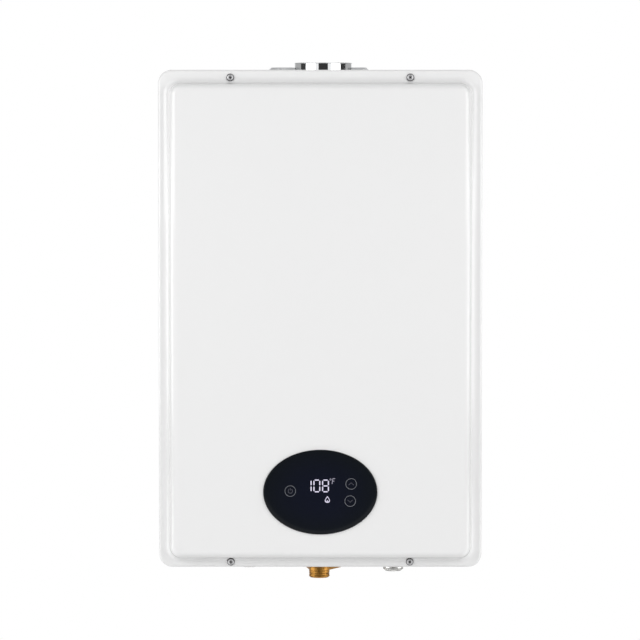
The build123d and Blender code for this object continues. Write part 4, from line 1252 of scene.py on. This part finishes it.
class HEATER_OT_studio(bpy.types.Operator):
    """Build the floor, the lamps, the white room and the camera"""

    bl_idname = "heater.studio"
    bl_label = "Studio"

    floor_reach = 10
    floor_fade = (1.5, 2.8)
    aim = (-0.3 * MM, -0.6 * MM)
    # Edges in the room that gloss sees. The first three are angles from the way the front faces and
    # the bands are angles above the horizon, in degrees. The last two are heights on a unit sphere.
    screen_edge = 18.5
    side_edges = (66, 100)
    behind_edge = 150
    band_top = (-5.6, -5.0)
    band_foot = (-6.9, -7.4)
    horizon = (-0.004, 0.004)
    upper_wall = (0.05, 0.5)
    # Brightness of each field of that room, or what it gains or loses.
    side_above = 0.05
    behind_loss = 0.55
    behind_loss_high = 0.35
    ground_level = 0.8
    ground_loss_behind = 0.4
    band_level = 0.15
    band_gain_rear = 0.5
    screen_level = 0.04
    screen_ground = 0.2

    def execute(self, context):
        studio = context.scene.heater_studio
        self.build_floor(studio)
        self.build_room(context.scene, studio)
        self.build_lamps(studio)
        self.build_camera(context.scene, studio)
        return {"FINISHED"}

    def build_floor(self, studio):
        """Pale paper that keeps the shadow below the heater and fades to white far from it."""
        bm = bmesh.new()
        bmesh.ops.create_grid(bm, x_segments=1, y_segments=1, size=self.floor_reach)
        bmesh.ops.translate(bm, verts=bm.verts, vec=(0, 0, -studio.floor_drop))
        mesh = bpy.data.meshes.new("studio_floor")
        bm.to_mesh(mesh)
        bm.free()
        floor = bpy.data.objects.new("studio_floor", mesh)
        bpy.context.scene.collection.objects.link(floor)
        paper = Finish("studio_paper", roughness=0.9)
        paper.set("base_color", paper.blend(paper.noise(3, 3), (0.80, 0.80, 0.80), (0.82, 0.82, 0.82)))
        reach = paper.node("VectorMath", {"operation": "LENGTH"}, {0: paper.place()}, out=1)
        ray = paper.tree.nodes.new("ShaderNodeLightPath")
        camera = Signal(paper.tree, ray.outputs["Is Camera Ray"])
        far = paper.range(reach, 0.0, 1.0, *self.floor_fade)
        white = paper.node("Emission", values={"Color": (1, 1, 1, 1), "Strength": 1.0})
        matt = Signal(paper.tree, paper.shader.outputs[0])
        mixed = paper.node("MixShader", values={0: far * camera, 1: matt, 2: white})
        output = paper.tree.nodes["Material Output"]
        paper.tree.links.new(mixed.socket, output.inputs["Surface"])
        mesh.materials.append(paper.material)
        floor.visible_glossy = False

    def build_room(self, scene, studio):
        """White to the camera, dimmer to matt surfaces, and with dark screens in gloss."""
        world = bpy.data.worlds.new("studio_room")
        world.use_nodes = True
        scene.world = world
        tree = world.node_tree
        room = Signal(tree)
        ray = tree.nodes.new("ShaderNodeLightPath")
        camera, glossy, clear = (
            Signal(tree, ray.outputs[f"Is {kind} Ray"]) for kind in ("Camera", "Glossy", "Transmission")
        )
        way = room.node("TexCoord", out=0)
        x, y, z = (room.node("SeparateXYZ", values={0: way}, out=axis) for axis in range(3))
        front, back, down = (room.maths("MAXIMUM", part, 0.0) for part in (y * -1, y, z * -1))
        matt = x * x * studio.room_side + front * front * studio.room_front
        matt = matt + back * back * studio.room_back + down * down * studio.room_bottom
        mirror = self.gloss_room(room, x, y, z, studio.side_glow)
        seen = room.maths("MAXIMUM", camera, clear)
        strength = seen + (1 - seen) * (glossy * mirror + (1 - glossy) * matt)
        background = tree.nodes["Background"]
        background.inputs["Color"].default_value = (1, 1, 1, 1)
        tree.links.new(strength.socket, background.inputs["Strength"])

    def gloss_room(self, room, x, y, z, side_glow):
        """What gloss sees: white walls, low side lights, a dark band above the ground, a screen."""
        turn = room.maths("ARCTAN2", abs(x), y * -1)
        side_start, side_end = (radians(edge) for edge in self.side_edges)
        screen = turn < radians(self.screen_edge)
        side = (turn > side_start) * (turn < side_end)
        rear = turn > side_end
        behind = rear * (turn < radians(self.behind_edge))
        above = self.ramp(room, z, *self.horizon)
        high = self.ramp(room, z, *self.upper_wall)
        level, ground = (
            self.ramp(room, z, *(sin(radians(edge)) for edge in band))
            for band in (self.band_top, self.band_foot)
        )
        side_light = above * self.side_above + (1 - above) * side_glow
        dark = behind * (self.behind_loss + high * self.behind_loss_high)
        pattern = 1 - side - dark + side * side_light
        below = self.ground_level - behind * self.ground_loss_behind
        shown = level + ground * (1 - level) * below
        band = self.band_level + rear * self.band_gain_rear
        seen_room = shown * pattern + (1 - shown) * band
        screened = self.screen_level + ground * self.screen_ground
        return seen_room * (1 - screen) + screen * screened

    def ramp(self, room, value, start, end):
        """Smooth step of a value from 0 at the start to 1 at the end."""
        return room.node("MapRange", {"interpolation_type": "SMOOTHSTEP"}, {0: value, 1: start, 2: end})

    def build_lamps(self, studio):
        for name, turn, tilt, reach, wide, tall, power in (
            ("softbox_left", -50, 14, 1.3, 0.9, 0.5, studio.softbox_left),
            ("softbox_right", 50, 14, 1.3, 0.9, 0.5, studio.softbox_right),
            ("low_fill", 0, -20, 1.4, 1.4, 0.4, studio.low_fill),
        ):
            lamp = bpy.data.lights.new(name, "AREA")
            lamp.shape = "RECTANGLE"
            lamp.size = wide
            lamp.size_y = tall
            lamp.energy = power
            holder = bpy.data.objects.new(name, lamp)
            bpy.context.scene.collection.objects.link(holder)
            turn, tilt = radians(turn), radians(tilt)
            way = Vector((sin(turn) * cos(tilt), -cos(turn) * cos(tilt), sin(tilt)))
            holder.location = way * reach
            holder.rotation_euler = way.to_track_quat("Z", "Y").to_euler()
            holder.visible_camera = False
            holder.visible_glossy = name != "low_fill"

    def build_camera(self, scene, studio):
        rim = bounds_of("front_cover")[0].y + HEATER_OT_front_cover.rise
        data = bpy.data.cameras.new("view")
        camera = bpy.data.objects.new("view", data)
        scene.collection.objects.link(camera)
        target = Vector((self.aim[0], rim, self.aim[1]))
        camera.location = (0, rim - studio.camera_distance, studio.camera_height)
        away = camera.location - target
        camera.rotation_euler = away.to_track_quat("Z", "Y").to_euler()
        data.sensor_width = 36
        data.lens = away.length / studio.frame_width * data.sensor_width
        data.clip_end = 50
        scene.camera = camera
        scene.view_settings.view_transform = "Standard"


class HEATER_PT_panel(bpy.types.Panel):
    """Lists the heater's pieces in the sidebar"""

    bl_idname = "HEATER_PT_panel"
    bl_label = "Water heater"
    bl_space_type = "VIEW_3D"
    bl_region_type = "UI"
    bl_category = "Heater"

    def draw(self, context):
        for step in STEPS:
            self.layout.operator(step.bl_idname)
        for settings in SETTINGS:
            group = getattr(context.scene, settings)
            box = self.layout.box()
            for name in group.__annotations__:
                box.prop(group, name)


STEPS = (
    HEATER_OT_finishes,
    HEATER_OT_front_cover,
    HEATER_OT_cover_screws,
    HEATER_OT_dial,
    HEATER_OT_flue,
    HEATER_OT_gas_inlet,
    HEATER_OT_water_fittings,
    HEATER_OT_drain,
    HEATER_OT_gland,
    HEATER_OT_valve_springs,
    HEATER_OT_studio,
)
SETTINGS = {
    "heater_cover": CoverSettings,
    "heater_dial": DialSettings,
    "heater_fittings": FittingSettings,
    "heater_studio": StudioSettings,
}


def register():
    for settings, kind in SETTINGS.items():
        bpy.utils.register_class(kind)
        setattr(bpy.types.Scene, settings, PointerProperty(type=kind))
    for kind in (*STEPS, HEATER_PT_panel):
        bpy.utils.register_class(kind)


def unregister():
    for kind in (HEATER_PT_panel, *reversed(STEPS)):
        bpy.utils.unregister_class(kind)
    for settings, kind in SETTINGS.items():
        delattr(bpy.types.Scene, settings)
        bpy.utils.unregister_class(kind)


def main():
    register()
    for step in STEPS:
        group, name = step.bl_idname.split(".")
        getattr(getattr(bpy.ops, group), name)()


if __name__ == "__main__":
    main()
